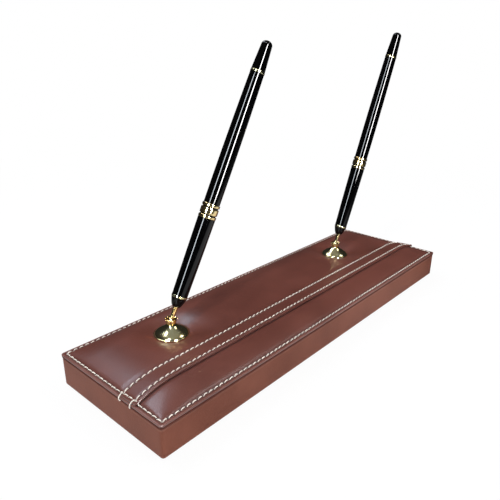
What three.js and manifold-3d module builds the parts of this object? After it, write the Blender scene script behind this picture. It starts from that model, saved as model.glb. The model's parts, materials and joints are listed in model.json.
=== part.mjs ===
// Desk pen stand: a block covered in stitched leather, with two ball-and-socket holders and two slim pens.
// Millimetres, +Z up. The origin is the centre of the underside, +X runs along the block towards the
// right pen, and +Y is the back.
//
// The skilful feature is the holder: a flared bell carries a slotted crown, whose petals close over a
// bored ball. A spring and a seat cup press on the ball from below, so the pen stays where it is put.

import * as THREE from "three";
import { mergeVertices } from "three/addons/utils/BufferGeometryUtils.js";
import Module from "manifold-3d";

const wasm = await Module();
wasm.setup();

const RAD = Math.PI / 180;

// Clearances
const GLUE = 0.1; // film between pieces that are stuck or clamped together
const SLIP = 0.2; // radial room round a piece that is pushed into another
const BALL_PLAY = 0.1; // between the ball and what holds it
const NOSE_PLAY = 0.25; // between the pen's nose and the bore of the ball

// Block
const LENGTH = 300;
const WIDTH = 90;
const SIDE_HEIGHT = 17.6; // from the table to the seam under the stitched edge
const OVERHANG = 0.3; // the stitched edge stands this far out from the sides
const CORNER_RADIUS = 1.6;
const LINER_THICKNESS = 0.5;
const LINER_INSET = 3;
const WRAP_THICKNESS = 1.2;
const WRAP_LIP = 9; // how far the side leather is turned over and under the block
const LINING_THICKNESS = 1.2;
const COVER_THICKNESS = 1.35;

// Padded top
const STITCH_INSET = 2.5; // from the edge to the seam all round
const CROWN_HEIGHT = 4.2; // of the padding above the stitched edge
const END_RISE = 26; // the padding takes this length to rise from the seam at an end
const SIDE_RISE = 20;
const RISE_POWER = 2.4;
const BOARD_THICKNESS = 0.8;
const BOARD_INSET = 4; // from the seam to the stiffening board
const BOARD_CORNER = 10;
const FOAM_INSET = 7;
const DIMPLE_FLAT = 11.8; // radius pulled down flat under a bell
const DIMPLE_MARGIN = 2.4; // left at full height between a dimple and the seam or the band

// Band of leather laid along the top
const BAND_SETBACK = 20.2; // of its folded front edge from the front of the block
const BAND_WIDTH = 14.4;
const BAND_BACK_THICKNESS = 0.7;
const BAND_FRONT_THICKNESS = 1.7;
const BAND_ROUND = 1.1; // depth of its rounded folds

// Holders
const HOLDER_SPACING = 180;
const HOLDER_SHIFT = -2.5; // the pair stands a little towards the left end
const BELL_RADIUS = 11;
const BELL_RIM = 0.8;
const BELL_EDGE_ROUND = 0.4;
const BELL_WALL = 0.9;
const BELL_LAND = 1.6; // flat ring that the bell stands on
const BELL_FLARE = 1.25; // power of the flare
const BELL_HEIGHT = 6.5;
const NECK_RADIUS = 2.85;
const NECK_THROAT = 1.6; // depth of the bored neck

const BALL_RADIUS = 2.6;
const BALL_HEIGHT = 8.6; // centre of the ball above the foot of the bell
const MOUTH_CHAMFER = 0.2;

const CROWN_WALL = 0.6;
const CROWN_LIP = 1; // the petals close on the ball at this height above its centre
const CROWN_TIP = 0.75; // height of the flared tips above that
const CROWN_TIP_FLARE = 0.75;
const CROWN_SLOT = 0.6;
const CROWN_SLOT_PAIRS = 4;
const CROWN_SLOT_FLOOR = 1.1; // below the centre of the ball
const TAIL_RADIUS = 2.05;
const TAIL_BORE = 1.55;
const TAIL_LENGTH = 7; // below the foot of the bell

const CUP_HEIGHT = 1.8;
const SPRING_WIRE = 0.5;
const SPRING_TURNS = 5;
const SPRING_STEPS = 9; // per turn
const SPRING_SIDES = 5;
const STUD_RADIUS = 1.35;
const STUD_ENTRY = 6.4; // length of stud inside the tail
const NUT_FLATS = 5.5;
const NUT_HEIGHT = 2.4;
const STUD_PROUD = 0.9; // below the nut
const WASHER_RADIUS = 5;
const WASHER_THICKNESS = 0.8;
const POCKET_RADIUS = 6.5;
const POCKET_DEPTH = 6.6;

// Pens, measured along the pen from the centre of the ball
const NOSE_TIP = -1.1;
const NOSE_TIP_RADIUS = 1.4;
const NOSE_ROOT_RADIUS = 1.6;
const NOSE_BORE = 1.0;
const NOSE_STEP = 3; // the tube has its tip radius up to here
const NOSE_SOCKET = 3; // length of the nose tube held in the cone
const CONE_START = 9.2;
const CONE_START_RADIUS = 2.3;
const CONE_END = 15.2;
const CONE_END_RADIUS = 4.8;
const CONE_ROUND = 0.62; // power of the cone's bulge
const RING_WIDTH = 1.3;
const RING_PROUD = 0.14;
const LOWER_BARREL_RADIUS = 5.35; // at the band
const BARREL_BULGE = 0.07; // how far the side of the lower barrel bows out
const BAND_START = 65.9;
const NARROW_BAND = 1.7;
const WIDE_BAND = 3.9;
const BAND_GROOVE = 0.75;
const GROOVE_DEPTH = 0.55;
const UPPER_BARREL_RADIUS = 5.0; // at the band
const UPPER_BARREL_BULGE = 0.25;
const UPPER_BARREL_END = 155.2;
const UPPER_BARREL_END_RADIUS = 4.3;
const CAP_LENGTH = 19.6; // from the end of the upper barrel
const CAP_END_RADIUS = 3.35;
const CAP_DOME = 2.6;
const CAP_STEM = 8;
const BARREL_WALL = 1.1;
const COUPLER_RADIUS = 3.55;
const COUPLER_WALL = 0.6;
const COUPLER_REACH = 7; // into each barrel
const REFILL_RADIUS = 1.5;
const REFILL_LENGTH = 98;
const POINT_RADIUS = 0.75;
const POINT_PROUD = 0.5; // of the nose tube
const POINT_TAPER = 1.2;
const POINT_SHOULDER = 2; // collar that seats on the root of the nose tube

// How the two pens stand: tilt from upright, and the direction of the lean turned from +X
const HOLDERS = [
  { side: "left", end: -1, tilt: 25.3, turn: -8 },
  { side: "right", end: 1, tilt: 17.3, turn: -13 },
];

// Facets
const BELL_FACETS = 28;
const CROWN_FACETS = 24;
const BALL_FACETS = 20;
const PEN_FACETS = 20;
const SMALL_FACETS = 12;

// Levels that follow from the sizes
const coreFloor = LINER_THICKNESS + GLUE;
const liningFloor = SIDE_HEIGHT + GLUE;
const coverFloor = liningFloor + LINING_THICKNESS + GLUE;
const edgeTop = coverFloor + COVER_THICKNESS;
const footLevel = edgeTop + GLUE;
const blockLength = LENGTH - 2 * OVERHANG;
const blockWidth = WIDTH - 2 * OVERHANG;
const shaftRadius = TAIL_RADIUS + SLIP;
const pointTip = NOSE_TIP - POINT_PROUD;
const noseRoot = CONE_START + NOSE_SOCKET;
const seamX = LENGTH / 2 - STITCH_INSET;
const seamY = WIDTH / 2 - STITCH_INSET;
const bandFront = BAND_SETBACK - WIDTH / 2;
const bandBack = bandFront + BAND_WIDTH;
const holderY = (bandBack + seamY) / 2;
const dimpleReach = seamY - holderY;
const dimpleEdge = dimpleReach - DIMPLE_MARGIN; // radius where the padding has its full height again
const punchRadius = (DIMPLE_FLAT + dimpleEdge) / 2; // hole in the board and the foam under a bell

const standard = (color, roughness, metalness) =>
  new THREE.MeshStandardMaterial({ color, roughness, metalness });
const leather = standard(0x6d3f37, 0.45, 0);
const lining = standard(0x5a322c, 0.6, 0);
const wood = standard(0xb58a5b, 0.8, 0);
const felt = standard(0x2a2523, 0.95, 0);
const foam = standard(0xd9d2c0, 0.9, 0);
const board = standard(0x8f7f68, 0.85, 0);
const gold = standard(0xd8bd7a, 0.15, 1);
const brass = standard(0xb5904e, 0.35, 1);
const steel = standard(0x9a9ca0, 0.35, 1);
const lacquer = standard(0x07070a, 0.08, 0);
const refillPlastic = standard(0xc9ccd0, 0.4, 0);

// A closed geometry as a solid that can be joined and cut.
function solid(geometry) {
  const bare = geometry.clone();
  bare.deleteAttribute("normal");
  bare.deleteAttribute("uv");
  const merged = mergeVertices(bare, 1e-4);
  return new wasm.Manifold(
    new wasm.Mesh({
      numProp: 3,
      vertProperties: merged.attributes.position.array,
      triVerts: new Uint32Array(merged.index.array),
    }),
  );
}

// The geometry of a joined or cut solid.
function geometryOf(made) {
  const { vertProperties, triVerts } = made.getMesh();
  return new THREE.BufferGeometry()
    .setAttribute("position", new THREE.BufferAttribute(vertProperties, 3))
    .setIndex(new THREE.BufferAttribute(triVerts, 1));
}

// Joins the first geometry to those after it in `add`, then cuts those in `cut` out of it.
function shaped(base, add, cut) {
  let made = solid(base);
  for (const piece of add) made = made.add(solid(piece));
  for (const piece of cut) made = made.subtract(solid(piece));
  return geometryOf(made);
}

// Turns [radius, height] points round the Z axis.
function turned(points, facets) {
  const profile = points.map(([r, z]) => new THREE.Vector2(r, z));
  return new THREE.LatheGeometry(profile, facets).rotateX(Math.PI / 2);
}

// An open round bar from z = low to z = high.
function bar(radius, low, high, facets) {
  const points = [[0, low], [radius, low], [radius, high], [0, high]];
  return turned(points, facets);
}

// A tube of rectangular section from z = low to z = high.
function ring(inner, outer, low, high, facets) {
  const points = [[inner, low], [outer, low], [outer, high], [inner, high], [inner, low]];
  return turned(points, facets);
}

// A flat slab with rounded corners, centred on the Z axis.
function slab(length, width, low, high, radius) {
  const x = length / 2;
  const y = width / 2;
  const outline = new THREE.Shape()
    .moveTo(radius - x, -y)
    .lineTo(x - radius, -y)
    .absarc(x - radius, radius - y, radius, -Math.PI / 2, 0)
    .lineTo(x, y - radius)
    .absarc(x - radius, y - radius, radius, 0, Math.PI / 2)
    .lineTo(radius - x, y)
    .absarc(radius - x, y - radius, radius, Math.PI / 2, Math.PI)
    .lineTo(-x, radius - y)
    .absarc(radius - x, radius - y, radius, Math.PI, 1.5 * Math.PI);
  const options = { depth: high - low, bevelEnabled: false, curveSegments: 3 };
  return new THREE.ExtrudeGeometry(outline, options).translate(0, 0, low);
}

const holderX = (holder) => HOLDER_SHIFT + (holder.end * HOLDER_SPACING) / 2;

// The same geometry once at each holder.
const atHolders = (make) =>
  HOLDERS.map((holder) => make().translate(holderX(holder), holderY, 0));

// The padding rises from the seam as a power curve and is level past its reach.
function rise(distance, reach) {
  const left = THREE.MathUtils.clamp(1 - distance / reach, 0, 1);
  return 1 - left ** RISE_POWER;
}

// Height of the padded top above the stitched edge, pulled down flat under each bell.
function crown(x, y) {
  const along = rise(LENGTH / 2 - STITCH_INSET - Math.abs(x), END_RISE);
  const across = rise(WIDTH / 2 - STITCH_INSET - Math.abs(y), SIDE_RISE);
  const dimples = HOLDERS.map((holder) => {
    const away = Math.hypot(x - holderX(holder), y - holderY);
    return THREE.MathUtils.smoothstep(away, DIMPLE_FLAT, dimpleEdge);
  });
  return CROWN_HEIGHT * along * across * Math.min(...dimples);
}

// Sorted grid lines: all of `must`, and those of `wish` that stay clear of the lines already there.
function gridLines(must, wish) {
  const kept = [...must];
  for (const v of wish) {
    if (kept.every((line) => Math.abs(line - v) >= LINE_SPACE)) kept.push(v);
  }
  return kept.sort((a, b) => a - b);
}

const LINE_SPACE = 2; // least distance of a wished line from another

// Fractions of a reach at which the padding's curve is followed, closer together near the seam.
const riseSteps = [0.14, 0.36, 0.66, 1];
const dimpleRings = [DIMPLE_FLAT / 2, DIMPLE_FLAT, dimpleEdge, dimpleReach];
const dimpleSteps = [0, ...dimpleRings, ...dimpleRings.map((r) => -r)];
const riseLinesX = riseSteps.flatMap((s) => [seamX - s * END_RISE, s * END_RISE - seamX]);
const riseLinesY = riseSteps.flatMap((s) => [seamY - s * SIDE_RISE, s * SIDE_RISE - seamY]);
const dimpleLinesX = HOLDERS.flatMap((holder) => dimpleSteps.map((d) => holderX(holder) + d));
const dimpleLinesY = dimpleSteps.map((d) => holderY + d).filter((y) => y < seamY);
const edgeLinesX = [-LENGTH / 2, -seamX, seamX, LENGTH / 2];
const edgeLinesY = [-WIDTH / 2, -seamY, bandFront, bandBack, seamY, WIDTH / 2];
const topXs = gridLines([...edgeLinesX, ...dimpleLinesX], [...riseLinesX, 0]);
const topYs = gridLines([...edgeLinesY, ...dimpleLinesY], riseLinesY);

// Draws the square rings of the grid round a bell in to circles, and leaves the grid alone further out.
function drawnIn(x, y) {
  for (const holder of HOLDERS) {
    const dx = x - holderX(holder);
    const dy = y - holderY;
    const square = Math.max(Math.abs(dx), Math.abs(dy));
    if (square > 0 && square < dimpleReach) {
      const share = THREE.MathUtils.clamp((dimpleReach - square) / (dimpleReach - dimpleEdge), 0, 1);
      const scale = (square / Math.hypot(dx, dy)) ** share;
      return [x + dx * (scale - 1), y + dy * (scale - 1)];
    }
  }
  return [x, y];
}

// A closed sheet between two surfaces, each a height over the grid of X and Y lines.
function sheet(xs, ys, lower, upper, bend = (x, y) => [x, y]) {
  const nx = xs.length;
  const ny = ys.length;
  const points = xs.flatMap((x) => ys.map((y) => bend(x, y)));
  const positions = [lower, upper].flatMap((height) =>
    points.flatMap(([x, y]) => [x, y, height(x, y)]),
  );
  const at = (layer, i, j) => layer * nx * ny + i * ny + j;
  const faces = [];
  const quad = (a, b, c, d) => faces.push(a, b, c, a, c, d);
  for (let i = 0; i + 1 < nx; i++) {
    for (let j = 0; j + 1 < ny; j++) {
      quad(at(1, i, j), at(1, i + 1, j), at(1, i + 1, j + 1), at(1, i, j + 1));
      quad(at(0, i, j), at(0, i, j + 1), at(0, i + 1, j + 1), at(0, i + 1, j));
    }
    quad(at(0, i, 0), at(0, i + 1, 0), at(1, i + 1, 0), at(1, i, 0));
    quad(at(0, i + 1, ny - 1), at(0, i, ny - 1), at(1, i, ny - 1), at(1, i + 1, ny - 1));
  }
  for (let j = 0; j + 1 < ny; j++) {
    quad(at(0, 0, j + 1), at(0, 0, j), at(1, 0, j), at(1, 0, j + 1));
    quad(at(0, nx - 1, j), at(0, nx - 1, j + 1), at(1, nx - 1, j + 1), at(1, nx - 1, j));
  }
  return new THREE.BufferGeometry()
    .setAttribute("position", new THREE.Float32BufferAttribute(positions, 3))
    .setIndex(faces);
}

// Wooden block, rebated at its edges for the turned-over leather and bored for the holders.
function baseCore() {
  const inner = WRAP_THICKNESS + GLUE;
  const lipX = blockLength - 2 * WRAP_LIP - 2 * GLUE;
  const lipY = blockWidth - 2 * WRAP_LIP - 2 * GLUE;
  const length = blockLength - 2 * inner;
  const width = blockWidth - 2 * inner;
  const body = slab(length, width, coreFloor + inner, SIDE_HEIGHT - inner, CORNER_RADIUS / 2);
  const raised = slab(lipX, lipY, coreFloor, SIDE_HEIGHT, CORNER_RADIUS);
  const bores = atHolders(() => bar(shaftRadius, 0, SIDE_HEIGHT + 1, SMALL_FACETS));
  const pockets = atHolders(() => bar(POCKET_RADIUS, 0, coreFloor + POCKET_DEPTH, SMALL_FACETS));
  return shaped(body, [raised], [...bores, ...pockets]);
}

// Leather round the four sides, turned under the block and over its top.
function sideWrap() {
  const inner = WRAP_THICKNESS;
  const outside = slab(blockLength, blockWidth, coreFloor, SIDE_HEIGHT, CORNER_RADIUS);
  const length = blockLength - 2 * inner;
  const width = blockWidth - 2 * inner;
  const hollow = slab(length, width, coreFloor + inner, SIDE_HEIGHT - inner, CORNER_RADIUS / 2);
  const lipX = blockLength - 2 * WRAP_LIP;
  const lipY = blockWidth - 2 * WRAP_LIP;
  const opening = slab(lipX, lipY, coreFloor - 1, SIDE_HEIGHT + 1, CORNER_RADIUS);
  return shaped(outside, [], [hollow, opening]);
}

function baseLiner() {
  const length = blockLength - 2 * LINER_INSET;
  const width = blockWidth - 2 * LINER_INSET;
  return slab(length, width, 0, LINER_THICKNESS, CORNER_RADIUS);
}

// Flat leather under the stitched edge, the lower of its two layers.
function topLining() {
  const top = liningFloor + LINING_THICKNESS;
  const flat = slab(LENGTH, WIDTH, liningFloor, top, CORNER_RADIUS);
  const bores = atHolders(() => bar(shaftRadius, liningFloor - 1, top + 1, SMALL_FACETS));
  return shaped(flat, [], bores);
}

// Stiffening board under the foam, punched out under each bell so that the bell clamps solid.
function padBoard() {
  const length = 2 * (seamX - BOARD_INSET);
  const width = 2 * (seamY - BOARD_INSET);
  const top = coverFloor + BOARD_THICKNESS;
  const flat = slab(length, width, coverFloor, top, BOARD_CORNER);
  const holes = atHolders(() => bar(punchRadius, coverFloor - 1, top + 1, BELL_FACETS));
  return shaped(flat, [], holes);
}

// Foam under the cover: it follows the crown, is cut off flat where it rests on the board, and is
// notched from the back for the bells.
function foamPad() {
  const floor = coverFloor + BOARD_THICKNESS + GLUE;
  const xs = topXs.filter((x) => Math.abs(x) <= seamX - FOAM_INSET);
  const ys = topYs.filter((y) => Math.abs(y) <= seamY - FOAM_INSET);
  const root = floor - CROWN_HEIGHT;
  const upper = (x, y) => coverFloor + crown(x, y) - 2 * GLUE;
  const raised = sheet(xs, ys, () => root, upper, drawnIn);
  const below = new THREE.BoxGeometry(LENGTH, WIDTH, 2 * CROWN_HEIGHT);
  below.translate(0, 0, floor - CROWN_HEIGHT);
  const punched = punchRadius + 1;
  const notches = atHolders(() => {
    const size = 2 * CROWN_HEIGHT;
    return new THREE.BoxGeometry(2 * punched, WIDTH, size).translate(0, WIDTH / 2, floor + CROWN_HEIGHT);
  });
  const holes = atHolders(() => bar(punched, floor - 1, edgeTop + CROWN_HEIGHT, SMALL_FACETS));
  return shaped(raised, [], [below, ...holes, ...notches]);
}

// Crowned leather cover with its flat stitched edge.
function topCover() {
  const lower = (x, y) => coverFloor + crown(x, y);
  const upper = (x, y) => edgeTop + crown(x, y);
  const leatherSheet = sheet(topXs, topYs, lower, upper, drawnIn);
  const bores = atHolders(() => bar(shaftRadius, coverFloor - 1, edgeTop + 1, SMALL_FACETS));
  return shaped(leatherSheet, [], bores);
}

// Strip laid over the cover from end to end: thin at the back, folded double at the front.
function coverBand() {
  const frontFold = [bandFront, bandFront + BAND_ROUND / 3, bandFront + BAND_ROUND];
  const ys = [...frontFold, bandBack - BAND_ROUND, bandBack];
  const lower = (x, y) => edgeTop + GLUE + crown(x, y);
  const upper = (x, y) => {
    const across = (y - bandFront) / (bandBack - bandFront);
    const full = THREE.MathUtils.lerp(BAND_FRONT_THICKNESS, BAND_BACK_THICKNESS, across);
    const fromEdge = Math.min(y - bandFront, bandBack - y) / BAND_ROUND;
    const rounded = Math.sqrt(1 - (1 - Math.min(fromEdge, 1)) ** 2);
    return lower(x, y) + full * (0.3 + 0.7 * rounded);
  };
  return sheet(topXs, ys, lower, upper);
}

// Radius of the bell's outside at a height above its foot.
function flare(z) {
  const t = THREE.MathUtils.clamp((z - BELL_RIM) / (BELL_HEIGHT - BELL_RIM), 0, 1);
  const foot = BELL_RADIUS - BELL_EDGE_ROUND;
  return NECK_RADIUS + (foot - NECK_RADIUS) * (1 - t) ** BELL_FLARE;
}

// Spun bell: a thin rim, a concave flare and a bored neck, hollow underneath.
function bell() {
  const steps = [0, 0.07, 0.17, 0.3, 0.47, 0.7, 1];
  const outside = steps.map((t) => {
    const z = BELL_RIM + t * (BELL_HEIGHT - BELL_RIM);
    return [flare(z), z];
  });
  const bore = TAIL_RADIUS + SLIP;
  const throat = BELL_HEIGHT - NECK_THROAT;
  const roof = [0.85, 0.6, 0.35, 0.15].map((t) => {
    const z = t * throat;
    return [Math.max(bore, flare(z + BELL_WALL) - BELL_WALL), z];
  });
  const points = [
    [BELL_RADIUS, 0],
    [BELL_RADIUS, BELL_RIM - BELL_EDGE_ROUND],
    ...outside,
    [bore, BELL_HEIGHT],
    [bore, throat],
    ...roof,
    [BELL_RADIUS - BELL_LAND, 0],
    [BELL_RADIUS, 0],
  ];
  return turned(points, BELL_FACETS);
}

// Points on a circle about a point of the Z axis, from one angle off that axis to another.
function arc(radius, middle, from, to, steps) {
  return Array.from({ length: steps + 1 }, (_, i) => {
    const angle = from + ((to - from) * i) / steps;
    return [radius * Math.sin(angle), middle + radius * Math.cos(angle)];
  });
}

// Crown of spring petals that holds the ball, with a hollow tail through the bell into the block.
function crownCollar() {
  const socket = BALL_RADIUS + BALL_PLAY;
  const shell = socket + CROWN_WALL;
  const lip = Math.acos(CROWN_LIP / socket);
  const seat = Math.PI - Math.asin(TAIL_BORE / socket);
  const shoulder = BELL_HEIGHT + GLUE;
  const root = Math.acos((shoulder - BALL_HEIGHT) / shell);
  const tipZ = BALL_HEIGHT + CROWN_LIP + CROWN_TIP;
  const lipRadius = socket * Math.sin(lip);
  const points = [
    [TAIL_BORE, -TAIL_LENGTH],
    [TAIL_RADIUS, -TAIL_LENGTH],
    [TAIL_RADIUS, shoulder],
    ...arc(shell, BALL_HEIGHT, root, lip, 4),
    [lipRadius + CROWN_TIP_FLARE + CROWN_WALL, tipZ],
    [lipRadius + CROWN_TIP_FLARE, tipZ],
    ...arc(socket, BALL_HEIGHT, lip, seat, 5),
    [TAIL_BORE, -TAIL_LENGTH],
  ];
  const reach = 2 * (shell + 1);
  const floor = BALL_HEIGHT - CROWN_SLOT_FLOOR;
  const slots = Array.from({ length: CROWN_SLOT_PAIRS }, (_, i) =>
    new THREE.BoxGeometry(reach, CROWN_SLOT, reach)
      .translate(0, 0, floor + reach / 2)
      .rotateZ((i * Math.PI) / CROWN_SLOT_PAIRS),
  );
  return shaped(turned(points, CROWN_FACETS), [], slots);
}

// Bored ball, drawn about its own centre.
function ball() {
  const bore = NOSE_TIP_RADIUS + NOSE_PLAY;
  const floor = pointTip - SLIP;
  const mouth = Math.asin((bore + MOUTH_CHAMFER) / BALL_RADIUS);
  const rim = BALL_RADIUS * Math.cos(mouth);
  const points = [
    [0, floor],
    [bore, floor],
    [bore, rim - MOUTH_CHAMFER],
    ...arc(BALL_RADIUS, 0, mouth, 0.9 * Math.PI, 8),
    [0, -BALL_RADIUS],
  ];
  return turned(points.reverse(), BALL_FACETS);
}

// Seat cup under the ball, dished to its curve.
function seatCup() {
  const radius = TAIL_BORE - SLIP;
  const contact = BALL_RADIUS + BALL_PLAY;
  const rim = BALL_HEIGHT - Math.sqrt(contact ** 2 - radius ** 2);
  const middle = BALL_HEIGHT - contact;
  const floor = rim - CUP_HEIGHT;
  const half = radius / 2;
  const dish = BALL_HEIGHT - Math.sqrt(contact ** 2 - half ** 2);
  const points = [[0, floor], [radius, floor], [radius, rim], [half, dish], [0, middle]];
  return { geometry: turned(points, BALL_FACETS), floor };
}

// Helix of round wire between two levels.
function coil(radius, wire, low, high) {
  const count = SPRING_TURNS * SPRING_STEPS;
  const positions = [];
  for (let i = 0; i <= count; i++) {
    const angle = (i / SPRING_STEPS) * 2 * Math.PI;
    const z = low + wire / 2 + ((high - low - wire) * i) / count;
    for (let k = 0; k < SPRING_SIDES; k++) {
      const a = (k / SPRING_SIDES) * 2 * Math.PI;
      const r = radius + (wire / 2) * Math.cos(a);
      positions.push(r * Math.cos(angle), r * Math.sin(angle), z + (wire / 2) * Math.sin(a));
    }
  }
  const faces = [];
  for (let i = 0; i < count; i++) {
    for (let k = 0; k < SPRING_SIDES; k++) {
      const a = i * SPRING_SIDES + k;
      const b = i * SPRING_SIDES + ((k + 1) % SPRING_SIDES);
      faces.push(a, a + SPRING_SIDES, b, b, a + SPRING_SIDES, b + SPRING_SIDES);
    }
  }
  const last = count * SPRING_SIDES;
  for (let k = 1; k + 1 < SPRING_SIDES; k++) {
    faces.push(0, k, k + 1, last, last + k + 1, last + k);
  }
  return new THREE.BufferGeometry()
    .setAttribute("position", new THREE.Float32BufferAttribute(positions, 3))
    .setIndex(faces);
}

function hexNut(low) {
  const corner = NUT_FLATS / Math.sqrt(3);
  const corners = Array.from({ length: 6 }, (_, i) => {
    const angle = (i * Math.PI) / 3;
    return new THREE.Vector2(corner * Math.cos(angle), corner * Math.sin(angle));
  });
  const outline = new THREE.Shape(corners);
  const options = { depth: NUT_HEIGHT, bevelEnabled: false };
  const prism = new THREE.ExtrudeGeometry(outline, options).translate(0, 0, low);
  const hole = bar(STUD_RADIUS + GLUE, low - 1, low + NUT_HEIGHT + 1, SMALL_FACETS);
  return shaped(prism, [], [hole]);
}

const coneSpan = CONE_END - CONE_START;

// Black cone behind the nose tube, bulging like a bullet.
function noseCone() {
  const outside = [0, 0.12, 0.3, 0.55, 0.8, 1].map((t) => [
    THREE.MathUtils.lerp(CONE_START_RADIUS, CONE_END_RADIUS, t ** CONE_ROUND),
    CONE_START + t * coneSpan,
  ]);
  const socket = NOSE_ROOT_RADIUS + SLIP;
  const bore = REFILL_RADIUS + SLIP;
  const points = [
    [socket, CONE_START],
    ...outside,
    [bore, CONE_END],
    [bore, noseRoot + SLIP],
    [socket, noseRoot + SLIP],
    [socket, CONE_START],
  ];
  return turned(points, PEN_FACETS);
}

function noseTube() {
  const points = [
    [NOSE_BORE, NOSE_TIP],
    [NOSE_TIP_RADIUS, NOSE_TIP],
    [NOSE_TIP_RADIUS, NOSE_STEP],
    [NOSE_ROOT_RADIUS, CONE_START],
    [NOSE_ROOT_RADIUS, noseRoot],
    [NOSE_BORE, noseRoot],
    [NOSE_BORE, NOSE_TIP],
  ];
  return turned(points, PEN_FACETS);
}

// A ring round the pen whose outside is slightly rounded.
function penRing(inner, outer, low, high) {
  const edge = outer - RING_PROUD;
  const round = Math.min(RING_PROUD, (high - low) / 3);
  const outside = [[edge, low], [outer, low + round], [outer, high - round], [edge, high]];
  return turned([[inner, low], ...outside, [inner, high], [inner, low]], PEN_FACETS);
}

const lowerStart = CONE_END + RING_WIDTH + 2 * GLUE;
const lowerEnd = BAND_START - GLUE;
const bandWidths = [NARROW_BAND, WIDE_BAND, NARROW_BAND];
const bandLength = 2 * NARROW_BAND + WIDE_BAND + 2 * BAND_GROOVE;
const bandEnd = BAND_START + bandLength;
const upperStart = bandEnd + GLUE;
const couplerBore = COUPLER_RADIUS - COUPLER_WALL;
const barrelSocket = COUPLER_RADIUS + SLIP;
const collarRadius = LOWER_BARREL_RADIUS - GROOVE_DEPTH;

// Side of a barrel: a straight taper that bows out by half a sine wave.
function barrelSide(low, lowRadius, high, highRadius, bulge, steps) {
  return Array.from({ length: steps + 1 }, (_, i) => {
    const t = i / steps;
    const straight = THREE.MathUtils.lerp(lowRadius, highRadius, t);
    const bow = i === steps ? 0 : bulge * Math.sin(Math.PI * t);
    return [straight + bow, THREE.MathUtils.lerp(low, high, t)];
  });
}

function lowerBarrel() {
  const points = [
    [barrelSocket, lowerStart],
    ...barrelSide(lowerStart, CONE_END_RADIUS, lowerEnd, LOWER_BARREL_RADIUS, BARREL_BULGE, 2),
    [barrelSocket, lowerEnd],
    [barrelSocket, lowerStart],
  ];
  return turned(points, PEN_FACETS);
}

// Sleeve that joins the two barrels. Its collar carries the rings of the band and shows between them.
function coupler() {
  const low = lowerEnd - COUPLER_REACH;
  const high = upperStart + COUPLER_REACH;
  const points = [
    [couplerBore, low],
    [COUPLER_RADIUS, low],
    [COUPLER_RADIUS, BAND_START],
    [collarRadius, BAND_START],
    [collarRadius, bandEnd],
    [COUPLER_RADIUS, bandEnd],
    [COUPLER_RADIUS, high],
    [couplerBore, high],
    [couplerBore, low],
  ];
  return turned(points, PEN_FACETS);
}

function upperBarrel() {
  const end = UPPER_BARREL_END_RADIUS;
  const bore = end - BARREL_WALL;
  const socketEnd = upperStart + COUPLER_REACH + SLIP;
  const points = [
    [barrelSocket, upperStart],
    ...barrelSide(upperStart, UPPER_BARREL_RADIUS, UPPER_BARREL_END, end, UPPER_BARREL_BULGE, 4),
    [bore, UPPER_BARREL_END],
    [bore, socketEnd],
    [barrelSocket, socketEnd],
    [barrelSocket, upperStart],
  ];
  return turned(points, PEN_FACETS);
}

// Tapered end cap with a dome, held by a stem in the upper barrel.
function endCap() {
  const low = UPPER_BARREL_END + RING_WIDTH + 2 * GLUE;
  const stem = UPPER_BARREL_END_RADIUS - BARREL_WALL - SLIP;
  const top = UPPER_BARREL_END + CAP_LENGTH;
  const shoulder = top - CAP_DOME;
  const dome = [1, 2, 3].map((i) => {
    const angle = (i * Math.PI) / 8;
    return [CAP_END_RADIUS * Math.cos(angle), shoulder + CAP_DOME * Math.sin(angle)];
  });
  const points = [
    [0, UPPER_BARREL_END - CAP_STEM],
    [stem, UPPER_BARREL_END - CAP_STEM],
    [stem, low],
    [UPPER_BARREL_END_RADIUS, low],
    [CAP_END_RADIUS, shoulder],
    ...dome,
    [0, top],
  ];
  return turned(points, PEN_FACETS);
}

// Slim point of the refill inside the nose tube, with a shoulder where the ink tube starts.
function refillPoint() {
  const shoulder = noseRoot + GLUE;
  const points = [
    [0, pointTip],
    [POINT_RADIUS / 3, pointTip],
    [POINT_RADIUS, pointTip + POINT_TAPER],
    [POINT_RADIUS, shoulder],
    [REFILL_RADIUS, shoulder],
    [REFILL_RADIUS, shoulder + POINT_SHOULDER],
    [0, shoulder + POINT_SHOULDER],
  ];
  return { geometry: turned(points, SMALL_FACETS), end: shoulder + POINT_SHOULDER };
}

const group = new THREE.Group();

function addMesh(parent, name, geometry, material) {
  const mesh = new THREE.Mesh(geometry, material);
  mesh.name = name;
  parent.add(mesh);
}

addMesh(group, "base_core", baseCore(), wood);
addMesh(group, "side_wrap", sideWrap(), leather);
addMesh(group, "base_liner", baseLiner(), felt);
addMesh(group, "top_lining", topLining(), lining);
addMesh(group, "pad_board", padBoard(), board);
addMesh(group, "foam_pad", foamPad(), foam);
addMesh(group, "top_cover", topCover(), leather);
addMesh(group, "cover_band", coverBand(), leather);

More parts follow.
